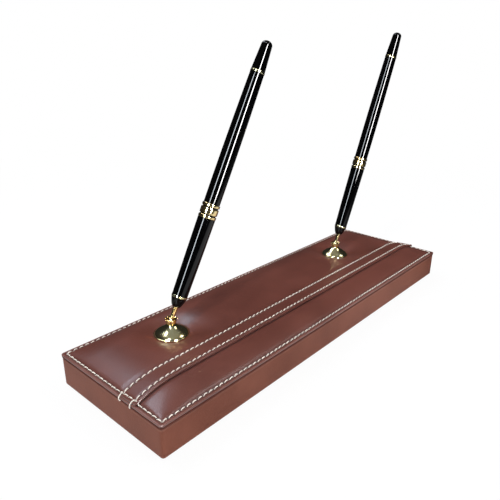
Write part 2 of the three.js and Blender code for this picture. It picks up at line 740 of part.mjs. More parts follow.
// Everything of a holder that stays fixed to the block, and the seat cup that turns with the ball.
function addHolder(parent, side) {
  const cup = seatCup();
  const springRadius = TAIL_BORE - SLIP - SPRING_WIRE / 2;
  const studTop = STUD_ENTRY - TAIL_LENGTH;
  const pocketRoof = coreFloor + POCKET_DEPTH - footLevel;
  const washerFloor = pocketRoof - GLUE - WASHER_THICKNESS;
  const nutFloor = washerFloor - GLUE - NUT_HEIGHT;
  const spring = coil(springRadius, SPRING_WIRE, studTop + GLUE, cup.floor - GLUE);
  const washer = ring(STUD_RADIUS + SLIP, WASHER_RADIUS, washerFloor, pocketRoof - GLUE, SMALL_FACETS);
  const stud = bar(STUD_RADIUS, nutFloor - STUD_PROUD, studTop, SMALL_FACETS);
  addMesh(parent, `${side}_bell`, bell(), gold);
  addMesh(parent, `${side}_crown`, crownCollar(), gold);
  addMesh(parent, `${side}_seat_cup`, cup.geometry, brass);
  addMesh(parent, `${side}_spring`, spring, steel);
  addMesh(parent, `${side}_stud`, stud, steel);
  addMesh(parent, `${side}_washer`, washer, steel);
  addMesh(parent, `${side}_nut`, hexNut(nutFloor), steel);
}

// One pen, drawn along +Z from the centre of its ball.
function addPen(parent, side) {
  const point = refillPoint();
  const tubeStart = point.end + GLUE;
  const tubeEnd = NOSE_TIP + REFILL_LENGTH;
  const ringLow = CONE_END + GLUE;
  const upperRingLow = UPPER_BARREL_END + GLUE;
  const lowerOuter = CONE_END_RADIUS + RING_PROUD;
  const upperOuter = UPPER_BARREL_END_RADIUS + RING_PROUD;
  const ringBore = REFILL_RADIUS + SLIP;
  const stemHole = UPPER_BARREL_END_RADIUS - BARREL_WALL;
  addMesh(parent, `${side}_pen_nose_tube`, noseTube(), gold);
  addMesh(parent, `${side}_pen_nose_cone`, noseCone(), lacquer);
  const lowerRing = penRing(ringBore, lowerOuter, ringLow, ringLow + RING_WIDTH);
  const upperRing = penRing(stemHole, upperOuter, upperRingLow, upperRingLow + RING_WIDTH);
  addMesh(parent, `${side}_pen_lower_ring`, lowerRing, gold);
  addMesh(parent, `${side}_pen_lower_barrel`, lowerBarrel(), lacquer);
  addMesh(parent, `${side}_pen_coupler`, coupler(), lacquer);
  let low = BAND_START;
  bandWidths.forEach((width, i) => {
    const band = penRing(collarRadius + SLIP, LOWER_BARREL_RADIUS + RING_PROUD, low, low + width);
    addMesh(parent, `${side}_pen_band_${i + 1}`, band, gold);
    low += width + BAND_GROOVE;
  });
  addMesh(parent, `${side}_pen_upper_barrel`, upperBarrel(), lacquer);
  addMesh(parent, `${side}_pen_upper_ring`, upperRing, gold);
  addMesh(parent, `${side}_pen_end_cap`, endCap(), lacquer);
  addMesh(parent, `${side}_pen_refill_point`, point.geometry, brass);
  const tube = bar(REFILL_RADIUS, tubeStart, tubeEnd, SMALL_FACETS);
  addMesh(parent, `${side}_pen_refill_tube`, tube, refillPlastic);
}

for (const { side, tilt, turn, ...rest } of HOLDERS) {
  const holder = new THREE.Group();
  holder.position.set(holderX(rest), holderY, footLevel);
  const swivel = new THREE.Group();
  swivel.position.z = BALL_HEIGHT;
  swivel.rotation.z = turn * RAD;
  const lean = new THREE.Group();
  lean.rotation.y = tilt * RAD;
  addHolder(holder, side);
  addMesh(lean, `${side}_ball`, ball(), gold);
  addPen(lean, side);
  swivel.add(lean);
  holder.add(swivel);
  group.add(holder);
}

export default group;
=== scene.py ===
# %% [markdown]
# # A leather pen stand for a desk
# The real object is a wooden block wrapped in reddish-brown leather. Its padded top is sewn all round, a
# folded band of leather is laid along it, and two slim pens lean in ball-and-socket holders. The working
# pieces come as a fixed frame at their real size. This lesson dresses that frame: each cell makes one piece
# or one finish, and the text before it says how the real thing is made.
#
# The frame is in metres. Sizes in this lesson are in millimetres, because that is how a maker thinks of a
# seam or a thread, and every mesh is scaled by MM when it is made.

import json
import math

import bpy
import numpy as np
from mathutils import Matrix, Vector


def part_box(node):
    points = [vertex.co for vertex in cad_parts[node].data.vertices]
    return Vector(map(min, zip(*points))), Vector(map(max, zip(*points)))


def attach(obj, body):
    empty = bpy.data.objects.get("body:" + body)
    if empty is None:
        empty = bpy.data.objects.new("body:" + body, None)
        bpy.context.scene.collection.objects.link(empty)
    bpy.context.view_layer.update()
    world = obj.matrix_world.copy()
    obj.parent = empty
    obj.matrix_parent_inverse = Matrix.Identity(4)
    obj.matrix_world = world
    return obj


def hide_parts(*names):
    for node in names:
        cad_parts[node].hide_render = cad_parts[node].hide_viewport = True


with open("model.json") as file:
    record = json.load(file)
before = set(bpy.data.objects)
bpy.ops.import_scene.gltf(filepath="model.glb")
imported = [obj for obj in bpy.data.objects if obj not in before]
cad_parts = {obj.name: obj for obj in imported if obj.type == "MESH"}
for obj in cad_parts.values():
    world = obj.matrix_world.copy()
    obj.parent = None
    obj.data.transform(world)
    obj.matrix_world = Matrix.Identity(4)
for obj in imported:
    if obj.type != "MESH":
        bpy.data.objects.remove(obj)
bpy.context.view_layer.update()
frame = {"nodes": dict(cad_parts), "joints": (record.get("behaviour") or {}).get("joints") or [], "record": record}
nodes = frame["nodes"]
scene = bpy.context.scene
MM = 0.001


def box_mm(node):
    """Lowest and highest corner of a frame node, in millimetres."""
    low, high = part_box(node)
    return np.array(low) / MM, np.array(high) / MM


def new_object(name, points, faces, scale=MM):
    """A mesh object of points in millimetres, linked to the scene."""
    mesh = bpy.data.meshes.new(name)
    mesh.from_pydata((np.asarray(points, float).reshape(-1, 3) * scale).tolist(), [], faces)
    obj = bpy.data.objects.new(name, mesh)
    scene.collection.objects.link(obj)
    return obj


# %% [markdown]
# ## Camera
# The block's corners in the photograph fix where the camera stood: low, near the left end, looking along the
# block. The view is kept as two angles and a small roll, which is how such a view is measured. The lens
# follows from the focal length in pixels and the width of the picture.

# %% Camera
PICTURE_PX = 500
FOCAL_PX = 509.7
SENSOR_MM = 36.0
CAMERA_AT = [-263.6, -200.6, 181.3]
CAMERA_TURN = -0.8413  # about the upright axis, from looking along +Y
CAMERA_DIP = 0.3714  # how far it looks down
CAMERA_ROLL = 0.0085


def axes_towards(turn, dip, roll=0.0):
    """Right, up and backward axes of something that looks down by the dip from the side given by the turn."""
    back = np.array([math.sin(turn) * math.cos(dip), -math.cos(turn) * math.cos(dip), math.sin(dip)])
    level = np.array([math.cos(turn), math.sin(turn), 0.0])
    right = math.cos(roll) * level + math.sin(roll) * np.cross(back, level)
    return np.column_stack([right, np.cross(back, right), back])


def set_up(obj, at_mm, axes):
    """Links an object to the scene and gives it a place and three axes."""
    matrix = np.eye(4)
    matrix[:3, :3] = axes
    matrix[:3, 3] = np.asarray(at_mm) * MM
    scene.collection.objects.link(obj)
    obj.matrix_world = Matrix(matrix.tolist())
    return obj


camera = set_up(
    bpy.data.objects.new("camera", bpy.data.cameras.new("camera")),
    CAMERA_AT,
    axes_towards(CAMERA_TURN, CAMERA_DIP, CAMERA_ROLL),
)
camera.data.sensor_width = SENSOR_MM
camera.data.lens = FOCAL_PX / PICTURE_PX * SENSOR_MM
camera.data.clip_start = 0.01
scene.camera = camera
print("lens", round(camera.data.lens, 2), "mm")

# %% [markdown]
# ## Shader maths as Python
# A material is a graph of nodes, and a formula built node by node is hard to read. A small class wraps a
# socket, so that an expression such as `1 - mask * 0.3` adds its Math nodes by itself. Every other node comes
# from one method, which takes the node's type, its settings and what goes into its sockets.

# %% Sockets and graphs
class Value:
    """A number on a node's socket. An expression on values adds the Math nodes that work it out."""

    def __init__(self, graph, socket):
        self.graph = graph
        self.socket = socket

    def maths(self, operation, first, second):
        return self.graph.value("Math", {"operation": operation}, {0: first, 1: second})

    def __add__(self, other):
        return self.maths("ADD", self, other)

    def __rsub__(self, other):
        return self.maths("SUBTRACT", other, self)

    def __mul__(self, other):
        return self.maths("MULTIPLY", self, other)

    __radd__ = __add__


class Graph:
    """The nodes of one material or world."""

    def __init__(self, owner):
        owner.use_nodes = True
        self.tree = owner.node_tree
        self.tree.nodes.clear()

    def add(self, kind, settings, inputs):
        """Adds a node: its settings first, then the value or the link of each socket."""
        node = self.tree.nodes.new("ShaderNode" + kind)
        for name, value in settings.items():
            setattr(node, name, value)
        for key, value in inputs.items():
            if isinstance(value, Value):
                self.tree.links.new(value.socket, node.inputs[key])
            else:
                node.inputs[key].default_value = value
        return node

    def value(self, kind, settings, inputs, output=0):
        return Value(self, self.add(kind, settings, inputs).outputs[output])

    def blend(self, mask, first, second):
        """A colour between two others, by a mask."""
        return self.value("Mix", {"data_type": "RGBA"}, {0: mask, 6: first, 7: second}, 2)

    def stretch(self, value, low, high):
        """0 below low, 1 above high, and a smooth step between them."""
        ends = {"Value": value, "From Min": low, "From Max": high}
        return self.value("MapRange", {"interpolation_type": "SMOOTHSTEP"}, ends)

    def noise(self, where, scale, detail=2.0):
        return self.value("TexNoise", {}, {"Vector": where, "Scale": scale, "Detail": detail})

    def fact(self, name):
        """A number that the surface's own formula wrote on its points."""
        return self.value("Attribute", {"attribute_name": name}, {}, "Fac")

    def bump(self, height, depth_mm, strength):
        return self.value("Bump", {}, {"Height": height, "Distance": depth_mm * MM, "Strength": strength})


def make_finish(name, settled, varied):
    """A material. Settled sockets are the same all over. A call of varied(graph, where) gives the colour,
    the roughness and the bump, which change from place to place."""
    material = bpy.data.materials.new(name)
    graph = Graph(material)
    tone, roughness, bump = varied(graph, graph.value("TexCoord", {}, {}, "Object"))
    changing = {"Base Color": tone, "Roughness": roughness, "Normal": bump}
    shader = graph.value("BsdfPrincipled", {}, {**settled, **changing})
    graph.add("OutputMaterial", {}, {"Surface": shader})
    return material


def colour(red, green, blue):
    """A colour from the 0 to 255 levels of a picture, as the linear light that a shader works in."""
    level = np.array([red, green, blue]) / 255
    linear = np.where(level > 0.04045, ((level + 0.055) / 1.055) ** 2.4, level / 12.92)
    return (*linear.tolist(), 1.0)


print("a mid grey of 128 is", round(colour(128, 128, 128)[0], 3), "in linear light")

# %% [markdown]
# ## Studio
# The photograph is a catalogue picture on white. The floor and the world show white to the camera, and light
# the object at a plain level. Metal and lacquer take their shape from what they reflect: a white sheet under
# the stand, a dark tent that turns grey towards its open top, and the lamps. Two tall strips beside the
# camera draw the long streaks on the pens, and matt surfaces don't see them. Three boxes stand higher up, two
# behind and one on the right. They put the bright spots on the bells, and the broad one straight behind also
# gives the sheen where the padding turns down at the left end. The key lamp stands high at the left end,
# where the pen's soft shadow says it is. A low fill in front lights the long side, and nothing reflects it.

# %% World, floor and lamps
AMBIENT = 0.56
TENT_RADIUS, TENT_TOP = 1600, 89  # the tent is open above this elevation in degrees
TENT_ROWS, TENT_SIDES = 20, 48
WHITE, FLOOR_WHITE = (1, 1, 1, 1), (0.96, 0.96, 0.96, 1)
TENT_DARK, TENT_GREY = 0.025, 0.26  # below the first and above the second of the next two elevations
TENT_FROM, TENT_TO = 45, 85
FLOOR_GLOW = 0.93  # share of plain white in the floor near the stand, as the camera sees it
FLOOR_NEAR, FLOOR_FAR = 400, 900  # between these distances that share grows to 1
FLOOR_HALF = 3000
FLOOR_DROP = 0.05
SHEET_MIDDLE = (-0.12, -0.17, 0.0)  # in metres: the white sheet lies in front of the stand
SHEET_NEAR, SHEET_FAR = 200, 340  # reflections see the floor fade to dark between these distances
STAND_MIDDLE = np.array([0.0, 0.0, 60.0])


def ray_kinds(graph):
    """1 for rays from the camera, and 1 for reflections and rays through glass. Light itself gives 0."""
    kinds = ["Is Camera Ray", "Is Glossy Ray", "Is Transmission Ray"]
    direct, glossy, through = [graph.value("LightPath", {}, {}, kind) for kind in kinds]
    return direct, glossy + through


def plain_world():
    """White to the camera and to what reflects it, and a plain level of light for the rest."""
    world = bpy.data.worlds.new("studio")
    scene.world = world
    graph = Graph(world)
    direct, reflected = ray_kinds(graph)
    ambient = graph.value("Background", {}, {"Color": WHITE, "Strength": AMBIENT})
    white = graph.value("Background", {}, {"Color": WHITE, "Strength": 1.0})
    both = graph.value("MixShader", {}, {0: direct + reflected, 1: ambient, 2: white})
    graph.add("OutputWorld", {}, {"Surface": both})


def stage_piece(name, points, faces, graph_of):
    """A mesh in millimetres that belongs to the studio, with its own material."""
    obj = new_object(name, points, faces)
    material = bpy.data.materials.new(name)
    graph = Graph(material)
    graph.add("OutputMaterial", {}, {"Surface": graph_of(graph)})
    obj.data.materials.append(material)
    return obj


def floor_paint(graph):
    """Pale paint that carries the shadow, mixed with its own white for the rays that see it."""
    direct, reflected = ray_kinds(graph)
    where = graph.value("TexCoord", {}, {}, "Object")
    away = graph.value("VectorMath", {"operation": "DISTANCE"}, {0: where, 1: SHEET_MIDDLE}, "Value")
    sheet = 1 - graph.stretch(away, SHEET_NEAR * MM, SHEET_FAR * MM)
    paint = graph.value("BsdfDiffuse", {}, {"Color": FLOOR_WHITE})
    glow = graph.value("Emission", {}, {"Color": WHITE, "Strength": direct + reflected * sheet})
    share = graph.stretch(away, FLOOR_NEAR * MM, FLOOR_FAR * MM) * (1 - FLOOR_GLOW) + FLOOR_GLOW
    return graph.value("MixShader", {}, {0: (direct + reflected) * share, 1: paint, 2: glow})


def tent_paint(graph):
    """Dark cloth that turns grey with height, by the sine of the elevation."""
    where = graph.value("TexCoord", {}, {}, "Object")
    up = graph.value("SeparateXYZ", {}, {0: where}, "Z")
    low, high = [TENT_RADIUS * MM * math.sin(math.radians(angle)) for angle in (TENT_FROM, TENT_TO)]
    tone = graph.stretch(up, low, high) * (TENT_GREY - TENT_DARK) + TENT_DARK
    return graph.value("Emission", {}, {"Color": WHITE, "Strength": tone})


def soft_box(name, side, height, distance, width, tall, brightness, tint=(1, 1, 1)):
    """An area lamp aimed at the stand: side and height are the angles at which it is seen from there."""
    data = bpy.data.lights.new(name, "AREA")
    data.shape = "RECTANGLE"
    data.size = width * MM
    data.size_y = tall * MM
    data.energy = brightness * math.pi * data.size * data.size_y
    data.color = tint
    axes = axes_towards(math.radians(side), math.radians(height))
    return set_up(bpy.data.objects.new(name, data), STAND_MIDDLE + axes[:, 2] * distance, axes)


plain_world()
square = [(x * FLOOR_HALF, y * FLOOR_HALF, -FLOOR_DROP) for x, y in [(-1, -1), (1, -1), (1, 1), (-1, 1)]]
stage_piece("floor", square, [(0, 1, 2, 3)], floor_paint)
turns = np.linspace(0, 2 * math.pi, TENT_SIDES + 1)
around, up = np.meshgrid(turns, np.radians(np.linspace(0, TENT_TOP, TENT_ROWS)), indexing="ij")
dome = np.stack([np.cos(up) * np.sin(around), np.cos(up) * np.cos(around), np.sin(up)], -1)
corner = np.arange(TENT_SIDES)[:, None] * TENT_ROWS + np.arange(TENT_ROWS - 1)
quads = np.stack([corner, corner + 1, corner + TENT_ROWS + 1, corner + TENT_ROWS], -1).reshape(-1, 4)
tent = stage_piece("tent", dome * TENT_RADIUS, quads.tolist(), tent_paint)
tent.visible_camera = tent.visible_diffuse = tent.visible_shadow = False
soft_box("key", -71, 61, 1200, 100, 100, 125.0)
soft_box("back", -174, 56, 1100, 460, 320, 8.0, (0.76, 0.84, 1.0))
soft_box("back_left", -148, 62, 1100, 220, 220, 5.0, (0.9, 0.95, 1.0))
soft_box("front_right", 52, 52, 1100, 240, 240, 7.0)
soft_box("left_strip", -80, 26, 900, 130, 600, 36.0, (0.86, 0.94, 1.0)).visible_diffuse = False
soft_box("right_strip", -19, 22, 900, 150, 560, 84.0).visible_diffuse = False
soft_box("fill", 20, 14, 1200, 600, 300, 4.6).visible_glossy = False

# %% [markdown]
# ## Surfaces from arrays
# Every new piece is a grid of points that one formula fills. Three helpers list its faces: between the rows
# of a grid, along closed tubes, and round an axis for a turned profile. A profile that starts and ends on the
# axis gets a single point there, so the shape is closed.

# %% Grids, profiles and pieces
def grid_faces(rows, columns, wrap_rows=False, wrap_columns=False):
    """Four-sided faces between neighbours of a grid, numbered row by row."""
    i, j = np.indices((rows if wrap_rows else rows - 1, columns if wrap_columns else columns - 1))
    down, across = (i + 1) % rows, (j + 1) % columns
    corners = [i * columns + j, down * columns + j, down * columns + across, i * columns + across]
    return np.stack(corners, -1).reshape(-1, 4)


def tube_faces(count, rows, columns):
    """Faces of tubes whose points follow each other: each is a row of rings, closed at both ends."""
    starts = np.arange(count)[:, None] * rows * columns
    ring = np.arange(columns)
    faces = (grid_faces(rows, columns, False, True)[None] + starts[:, None]).reshape(-1, 4).tolist()
    faces += (starts + ring[::-1]).tolist()
    return faces + (starts + (rows - 1) * columns + ring).tolist()


def turned(profile, count):
    """A profile of (radius, height) points turned round Z: x = r cos a, y = r sin a, z = height."""
    profile = np.asarray(profile, float)
    solid = profile[0, 0] == 0 and profile[-1, 0] == 0
    rim = profile[1:-1] if solid else profile
    angle = np.linspace(0, 2 * math.pi, count, endpoint=False)[:, None]
    points = np.stack([rim[:, 0] * np.cos(angle), rim[:, 0] * np.sin(angle), rim[:, 1] + 0 * angle], -1)
    faces = grid_faces(count, len(rim), True, not solid).tolist()
    points = points.reshape(-1, 3)
    if solid:
        last = len(rim) - 1
        first_of = np.arange(count) * len(rim)
        next_of = np.roll(first_of, -1)
        low = np.full(count, len(points))
        faces += np.stack([low, next_of, first_of], -1).tolist()
        faces += np.stack([first_of + last, next_of + last, low + 1], -1).tolist()
        points = np.vstack([points, [[0, 0, profile[0, 1]], [0, 0, profile[-1, 1]]]])
    return points, faces


def eased(corners, steps=5):
    """A profile with eased corners. A corner is (radius, height, ease): the curve leaves the straight sides
    at that distance from the corner and follows a parabola between them."""
    corners = np.asarray(corners, float)
    t = np.linspace(0, 1, steps)[:, None]
    made = []
    for k, (radius, height, ease) in enumerate(corners):
        corner = np.array([[radius, height]])
        if ease == 0 or k in (0, len(corners) - 1):
            made.append(corner)
            continue
        before, after = corners[k - 1, :2] - corner, corners[k + 1, :2] - corner
        start = corner + before * ease / np.linalg.norm(before)
        end = corner + after * ease / np.linalg.norm(after)
        made.append((1 - t) ** 2 * start + 2 * t * (1 - t) * corner + t**2 * end)
    return np.vstack(made)


def make_piece(name, points, faces, body, finish, stands_for=(), sharp_deg=None, facts=None):
    """A mesh in millimetres as a smooth-shaded piece that rides on a body and stands for frame nodes."""
    piece = new_object(name, points, faces)
    mesh = piece.data
    mesh.shade_smooth()
    if sharp_deg is not None:
        mesh.set_sharp_from_angle(angle=math.radians(sharp_deg))
    for fact, values in (facts or {}).items():
        mesh.attributes.new(fact, "FLOAT", "POINT").data.foreach_set("value", np.ravel(values))
    mesh.materials.append(finish)
    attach(piece, body)
    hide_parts(*stands_for)
    return piece


print("a ring of 3 by 4 points has", len(grid_faces(3, 4, True, True)), "faces")

# %% [markdown]
# ## Leather
# The leather is dyed reddish brown and finished almost smooth, with a soft shine. Under a low light it shows
# a fine pebble grain and slow changes of tone. The grain is a cell pattern on the object's own
# coordinates, so it has one scale everywhere. Painted shade darkens the seams' grooves, the stitch rows,
# the lines beside the band and the cut edges; the edges' paler tone is partly wear and partly a painted
# highlight. Both come from attributes that the surface formulas write, so the painted dark line always lies
# in the groove.

# %% Leather finish
GRAIN_PER_M, PATCHES_PER_M = 1050.0, 24.0
GRAIN_DEPTH = 0.09
PATCH_FROM, PATCH_TO = 0.3, 0.7  # noise below and above these is all one tone
CELL_RIM, CELL_MIDDLE = 0.75, 0.15  # distances in a grain cell
# Painted light: the sides' browns are lighter than the top's, standing for the light that falls on the sides from
# the front; it is one leather.
TOP_DARK, TOP_LIGHT = colour(96, 50, 40), colour(113, 60, 48)
SIDE_DARK, SIDE_LIGHT = colour(115, 67, 53), colour(134, 82, 66)
# Painted shade: the dark red that grooves, stitch rows, the band's line and cut edges are blended towards.
PAINTED_SHADE_TONE = colour(58, 16, 17)
# The paler tone of the edges: partly wear, partly a painted highlight along the cover's margin and cut edge.
WEAR_HIGHLIGHT_TONE = colour(160, 114, 102)


def leather_paint(dark, light):
    """Tone = slow noise between two browns, darker by painted shade and paler by wear and painted highlight."""
    def varied(graph, where):
        patches = graph.stretch(graph.noise(where, PATCHES_PER_M, 4.0), PATCH_FROM, PATCH_TO)
        cells = graph.value("TexVoronoi", {}, {"Vector": where, "Scale": GRAIN_PER_M})
        pores = graph.noise(where, GRAIN_PER_M * 3)
        painted_shade, wear_and_highlight = graph.fact("painted_shade"), graph.fact("wear_and_highlight")
        tone = graph.blend(patches, dark, light)
        tone = graph.blend(graph.stretch(cells, CELL_RIM, CELL_MIDDLE) * 0.2, tone, light)
        tone = graph.blend(wear_and_highlight * (0.25 + patches * 0.4), tone, WEAR_HIGHLIGHT_TONE)
        tone = graph.blend(painted_shade, tone, PAINTED_SHADE_TONE)
        roughness = 0.3 + patches * 0.07 + painted_shade * 0.3 + pores * 0.06
        return tone, roughness, graph.bump(cells * 0.7 + pores * 0.5, GRAIN_DEPTH, 0.8)
    return varied


TOP_SHINE = {"Specular IOR Level": 0.5, "Coat Weight": 0.2, "Coat Roughness": 0.2}
SIDE_SHINE = {"Specular IOR Level": 0.05}
# One leather in two finishes: the top's darker browns and the sides' lighter ones are painted light and shade.
top_leather_shaded = make_finish("top_leather_shaded", TOP_SHINE, leather_paint(TOP_DARK, TOP_LIGHT))
side_leather_lit = make_finish("side_leather_lit", SIDE_SHINE, leather_paint(SIDE_DARK, SIDE_LIGHT))
print("grain cells about", round(1 / GRAIN_PER_M / MM, 2), "mm across")

# %% [markdown]
# ## Shape of the padding
# The padding rises from the seam as a power curve, steep at first and then level, like a thin cushion that is
# sewn down along its edge. Under each bell it is pulled down flat. This formula gives the cover's height
# anywhere, and all that lies on the cover is placed with it.

# %% Padding formula
COVER_THICKNESS = 1.35
SEAM_INSET = 2.5
END_RISE, SIDE_RISE = 26.0, 20.0
RISE_POWER = 2.4
DIMPLE_FLAT, DIMPLE_SOFT, DIMPLE_RISE = 11.4, 1.0, 20.0  # the leather rises from a clamped ring

cover_low, cover_high = box_mm("top_cover")
band_low, band_high = box_mm("cover_band")
half_length, half_width = cover_high[:2]
seam_x, seam_y = half_length - SEAM_INSET, half_width - SEAM_INSET
edge_top = cover_low[2] + COVER_THICKNESS
crown_height = cover_high[2] - edge_top
joints = {joint["name"]: joint for joint in frame["joints"]}
ball_centres = {side: np.array(joints[f"{side}_swivel"]["pos_m"]) / MM for side in ("left", "right")}


def smooth(value):
    """3 v squared minus 2 v cubed, with v kept from 0 to 1."""
    value = np.clip(value, 0, 1)
    return value * value * (3 - 2 * value)


def ridge(distance, width):
    """1 at no distance, and less on both sides: exp of minus the square of distance over width."""
    return np.exp(-((distance / width) ** 2))


def rise(distance, reach):
    """One minus (one minus the share of the reach) to a power."""
    return 1 - np.clip(1 - distance / reach, 0, 1) ** RISE_POWER


def crown(x, y):
    """Height of the padding above the sewn edge: the rise from the ends times the rise from the sides, times
    a rise round each bell, whose distance starts softly as the square root of (d squared + s squared) - s."""
    height = crown_height * rise(seam_x - np.abs(x), END_RISE) * rise(seam_y - np.abs(y), SIDE_RISE)
    for centre in ball_centres.values():
        away = np.clip(np.hypot(x - centre[0], y - centre[1]) - DIMPLE_FLAT, 0, None)
        height = height * rise(np.hypot(away, DIMPLE_SOFT) - DIMPLE_SOFT, DIMPLE_RISE)
    return height


print("crown", round(float(crown_height), 2), "mm above an edge at", round(float(edge_top), 2), "mm")

# %% [markdown]
# ## Foam pushing on the leather
# A formula alone looks machined. Real leather over foam is held by its seams, by the band and by the bells,
# and the foam pushes it out between them. A cloth simulation gives that: a coarse sheet starts on the
# formula's shape, is pinned where it is sewn or clamped, and pressure from below makes it swell. It runs at
# a hundred times the real size, because cloth solvers are tuned for garments. Only its rise is kept, with a
# cap, and added to the fine surface.

# %% Cloth simulation
CLOTH_CELL = 2.5
CLOTH_SCALE = 0.1  # scene units for a millimetre while it is simulated
CLOTH_FRAMES = 20
CLOTH_PRESSURE, CLOTH_BENDING = 1.2, 2.0
SWELL_CAP = 0.3
PIN_MARGIN = 1  # the sheet is held this far beyond its seams and the band
cloth_x = np.linspace(-seam_x, seam_x, round(2 * seam_x / CLOTH_CELL) + 1)
cloth_y = np.linspace(-seam_y, seam_y, round(2 * seam_y / CLOTH_CELL) + 1)


def swell():
    """Rise of the pinned sheet over its start shape after the simulation, on the coarse grid."""
    x, y = np.meshgrid(cloth_x, cloth_y, indexing="ij")
    start = np.stack([x, y, crown(x, y)], -1)
    pinned = (np.abs(x) > seam_x - PIN_MARGIN) | (np.abs(y) > seam_y - PIN_MARGIN)
    pinned |= (y > band_low[1] - PIN_MARGIN) & (y < band_high[1] + PIN_MARGIN)
    for centre in ball_centres.values():
        pinned |= np.hypot(x - centre[0], y - centre[1]) < DIMPLE_FLAT
    sheet = new_object("cloth", start, grid_faces(*x.shape).tolist(), CLOTH_SCALE)
    sewn = sheet.vertex_groups.new(name="sewn")
    sewn.add(np.flatnonzero(pinned).tolist(), 1.0, "REPLACE")
    cloth = sheet.modifiers.new("cloth", "CLOTH")
    cloth.settings.vertex_group_mass = "sewn"
    cloth.settings.use_pressure = True
    cloth.settings.uniform_pressure_force = CLOTH_PRESSURE
    cloth.settings.effector_weights.gravity = 0
    cloth.settings.bending_stiffness = CLOTH_BENDING
    for moment in range(1, CLOTH_FRAMES + 1):
        scene.frame_set(moment)
    settled = sheet.evaluated_get(bpy.context.evaluated_depsgraph_get()).data
    after = np.zeros(x.size * 3, np.float32)
    settled.vertices.foreach_get("co", after)
    bpy.data.objects.remove(sheet)
    scene.frame_set(1)
    risen = after.reshape(*x.shape, 3)[..., 2] / CLOTH_SCALE - start[..., 2]
    return np.clip(risen, -SWELL_CAP, SWELL_CAP)


swollen = swell()


def on_cloth(x, y):
    """The simulated rise between the coarse points, weighted by nearness along each direction."""
    u = np.clip((x + seam_x) / (2 * seam_x), 0, 1) * (len(cloth_x) - 1)
    v = np.clip((y + seam_y) / (2 * seam_y), 0, 1) * (len(cloth_y) - 1)
    i, j = np.minimum(u.astype(int), len(cloth_x) - 2), np.minimum(v.astype(int), len(cloth_y) - 2)
    s, t = smooth(u - i), smooth(v - j)
    near = swollen[i, j] * (1 - t) + swollen[i, j + 1] * t
    far = swollen[i + 1, j] * (1 - t) + swollen[i + 1, j + 1] * t
    return near * (1 - s) + far * s


def padding(x, y):
    """Height of the cover over the table, before its seams are drawn in."""
    return edge_top + crown(x, y) + on_cloth(x, y)


print("the foam pushes the leather out by up to", round(float(swollen.max()), 2), "mm")

# %% [markdown]
# ## The cover
# The cover is one sheet of leather. Its sewn line runs 2.5 mm inside the edge, and each stitch pulls a small
# pit into it. The grid's lines are spaced by a quarter of a stitch, so a pit always falls on a point, and
# lines are added close to the seam where the groove needs them. The sheet is closed: the same grid lies
# underneath, and rows of points round the edge join the two.

# %% Sheet with a rounded edge
STITCH_PITCH = 3.75
SEAM_LINES = np.array([-1.4, -0.6, -0.3, 0.35, 0.7, 1.1, 1.5, 1.85])  # from the seam, outwards
BAND_LINES = np.array([-0.15, 0.05, 0.2, 0.35, 0.55, 0.85])  # from the band's edges, outwards
EDGE_ROUND, EDGE_STEPS = 0.5, 7
EDGE_POWER = 0.6  # below 1 the edge is fuller than a circle
CORNER_ROUND, CORNER_ZONE = 1.1, 6.0
COVER_RIPPLE, LINING_RIPPLE = 0.08, 0.12  # how uneven the cut edge is, as a share of its rounding
RIPPLE_X, RIPPLE_Y = 0.31, 0.47  # in radians per mm
inner_x, inner_y = half_length - EDGE_ROUND, half_width - EDGE_ROUND


def seam_grid(half, seam, more=()):
    """Grid lines at quarter stitches between the seams, with more beside each seam and at the edge."""
    stitches = round(2 * seam / STITCH_PITCH)
    even = np.linspace(-seam, seam, 4 * stitches + 1)
    extra = np.concatenate([seam + SEAM_LINES, [half - EDGE_ROUND]])
    return np.unique(np.concatenate([even, extra, -extra, more])), stitches


def with_round_corners(x, y):
    """Draws a grid's square corners in: each L-shaped line of the corner zone gets a rounded bend, whose
    radius grows from 0 at the zone's start to the full radius at the edge."""
    a, b = np.abs(x) - (inner_x - CORNER_ZONE), np.abs(y) - (inner_y - CORNER_ZONE)
    major, minor = np.maximum(a, b), np.minimum(a, b)
    bend = CORNER_ROUND * np.clip(major, 1e-6, None) / CORNER_ZONE
    angle = np.clip((minor - major + bend) / bend, 0, 1) * math.pi / 4
    inside = (minor > 0) & (angle > 0)
    new_major = np.where(inside, major - bend + bend * np.cos(angle), major)
    new_minor = np.where(inside, major - bend + bend * np.sin(angle), minor)
    a, b = np.where(a >= b, new_major, new_minor), np.where(a >= b, new_minor, new_major)
    return np.sign(x) * (a + inner_x - CORNER_ZONE), np.sign(y) * (b + inner_y - CORNER_ZONE)


def border(rows, columns):
    """Numbers of a grid's outer points, once round, with the inside on the left."""
    i, j = np.arange(rows), np.arange(columns)
    return np.concatenate([
        i * columns, (rows - 1) * columns + j[1:], i[::-1][1:] * columns + columns - 1, j[::-1][1:-1],
    ])


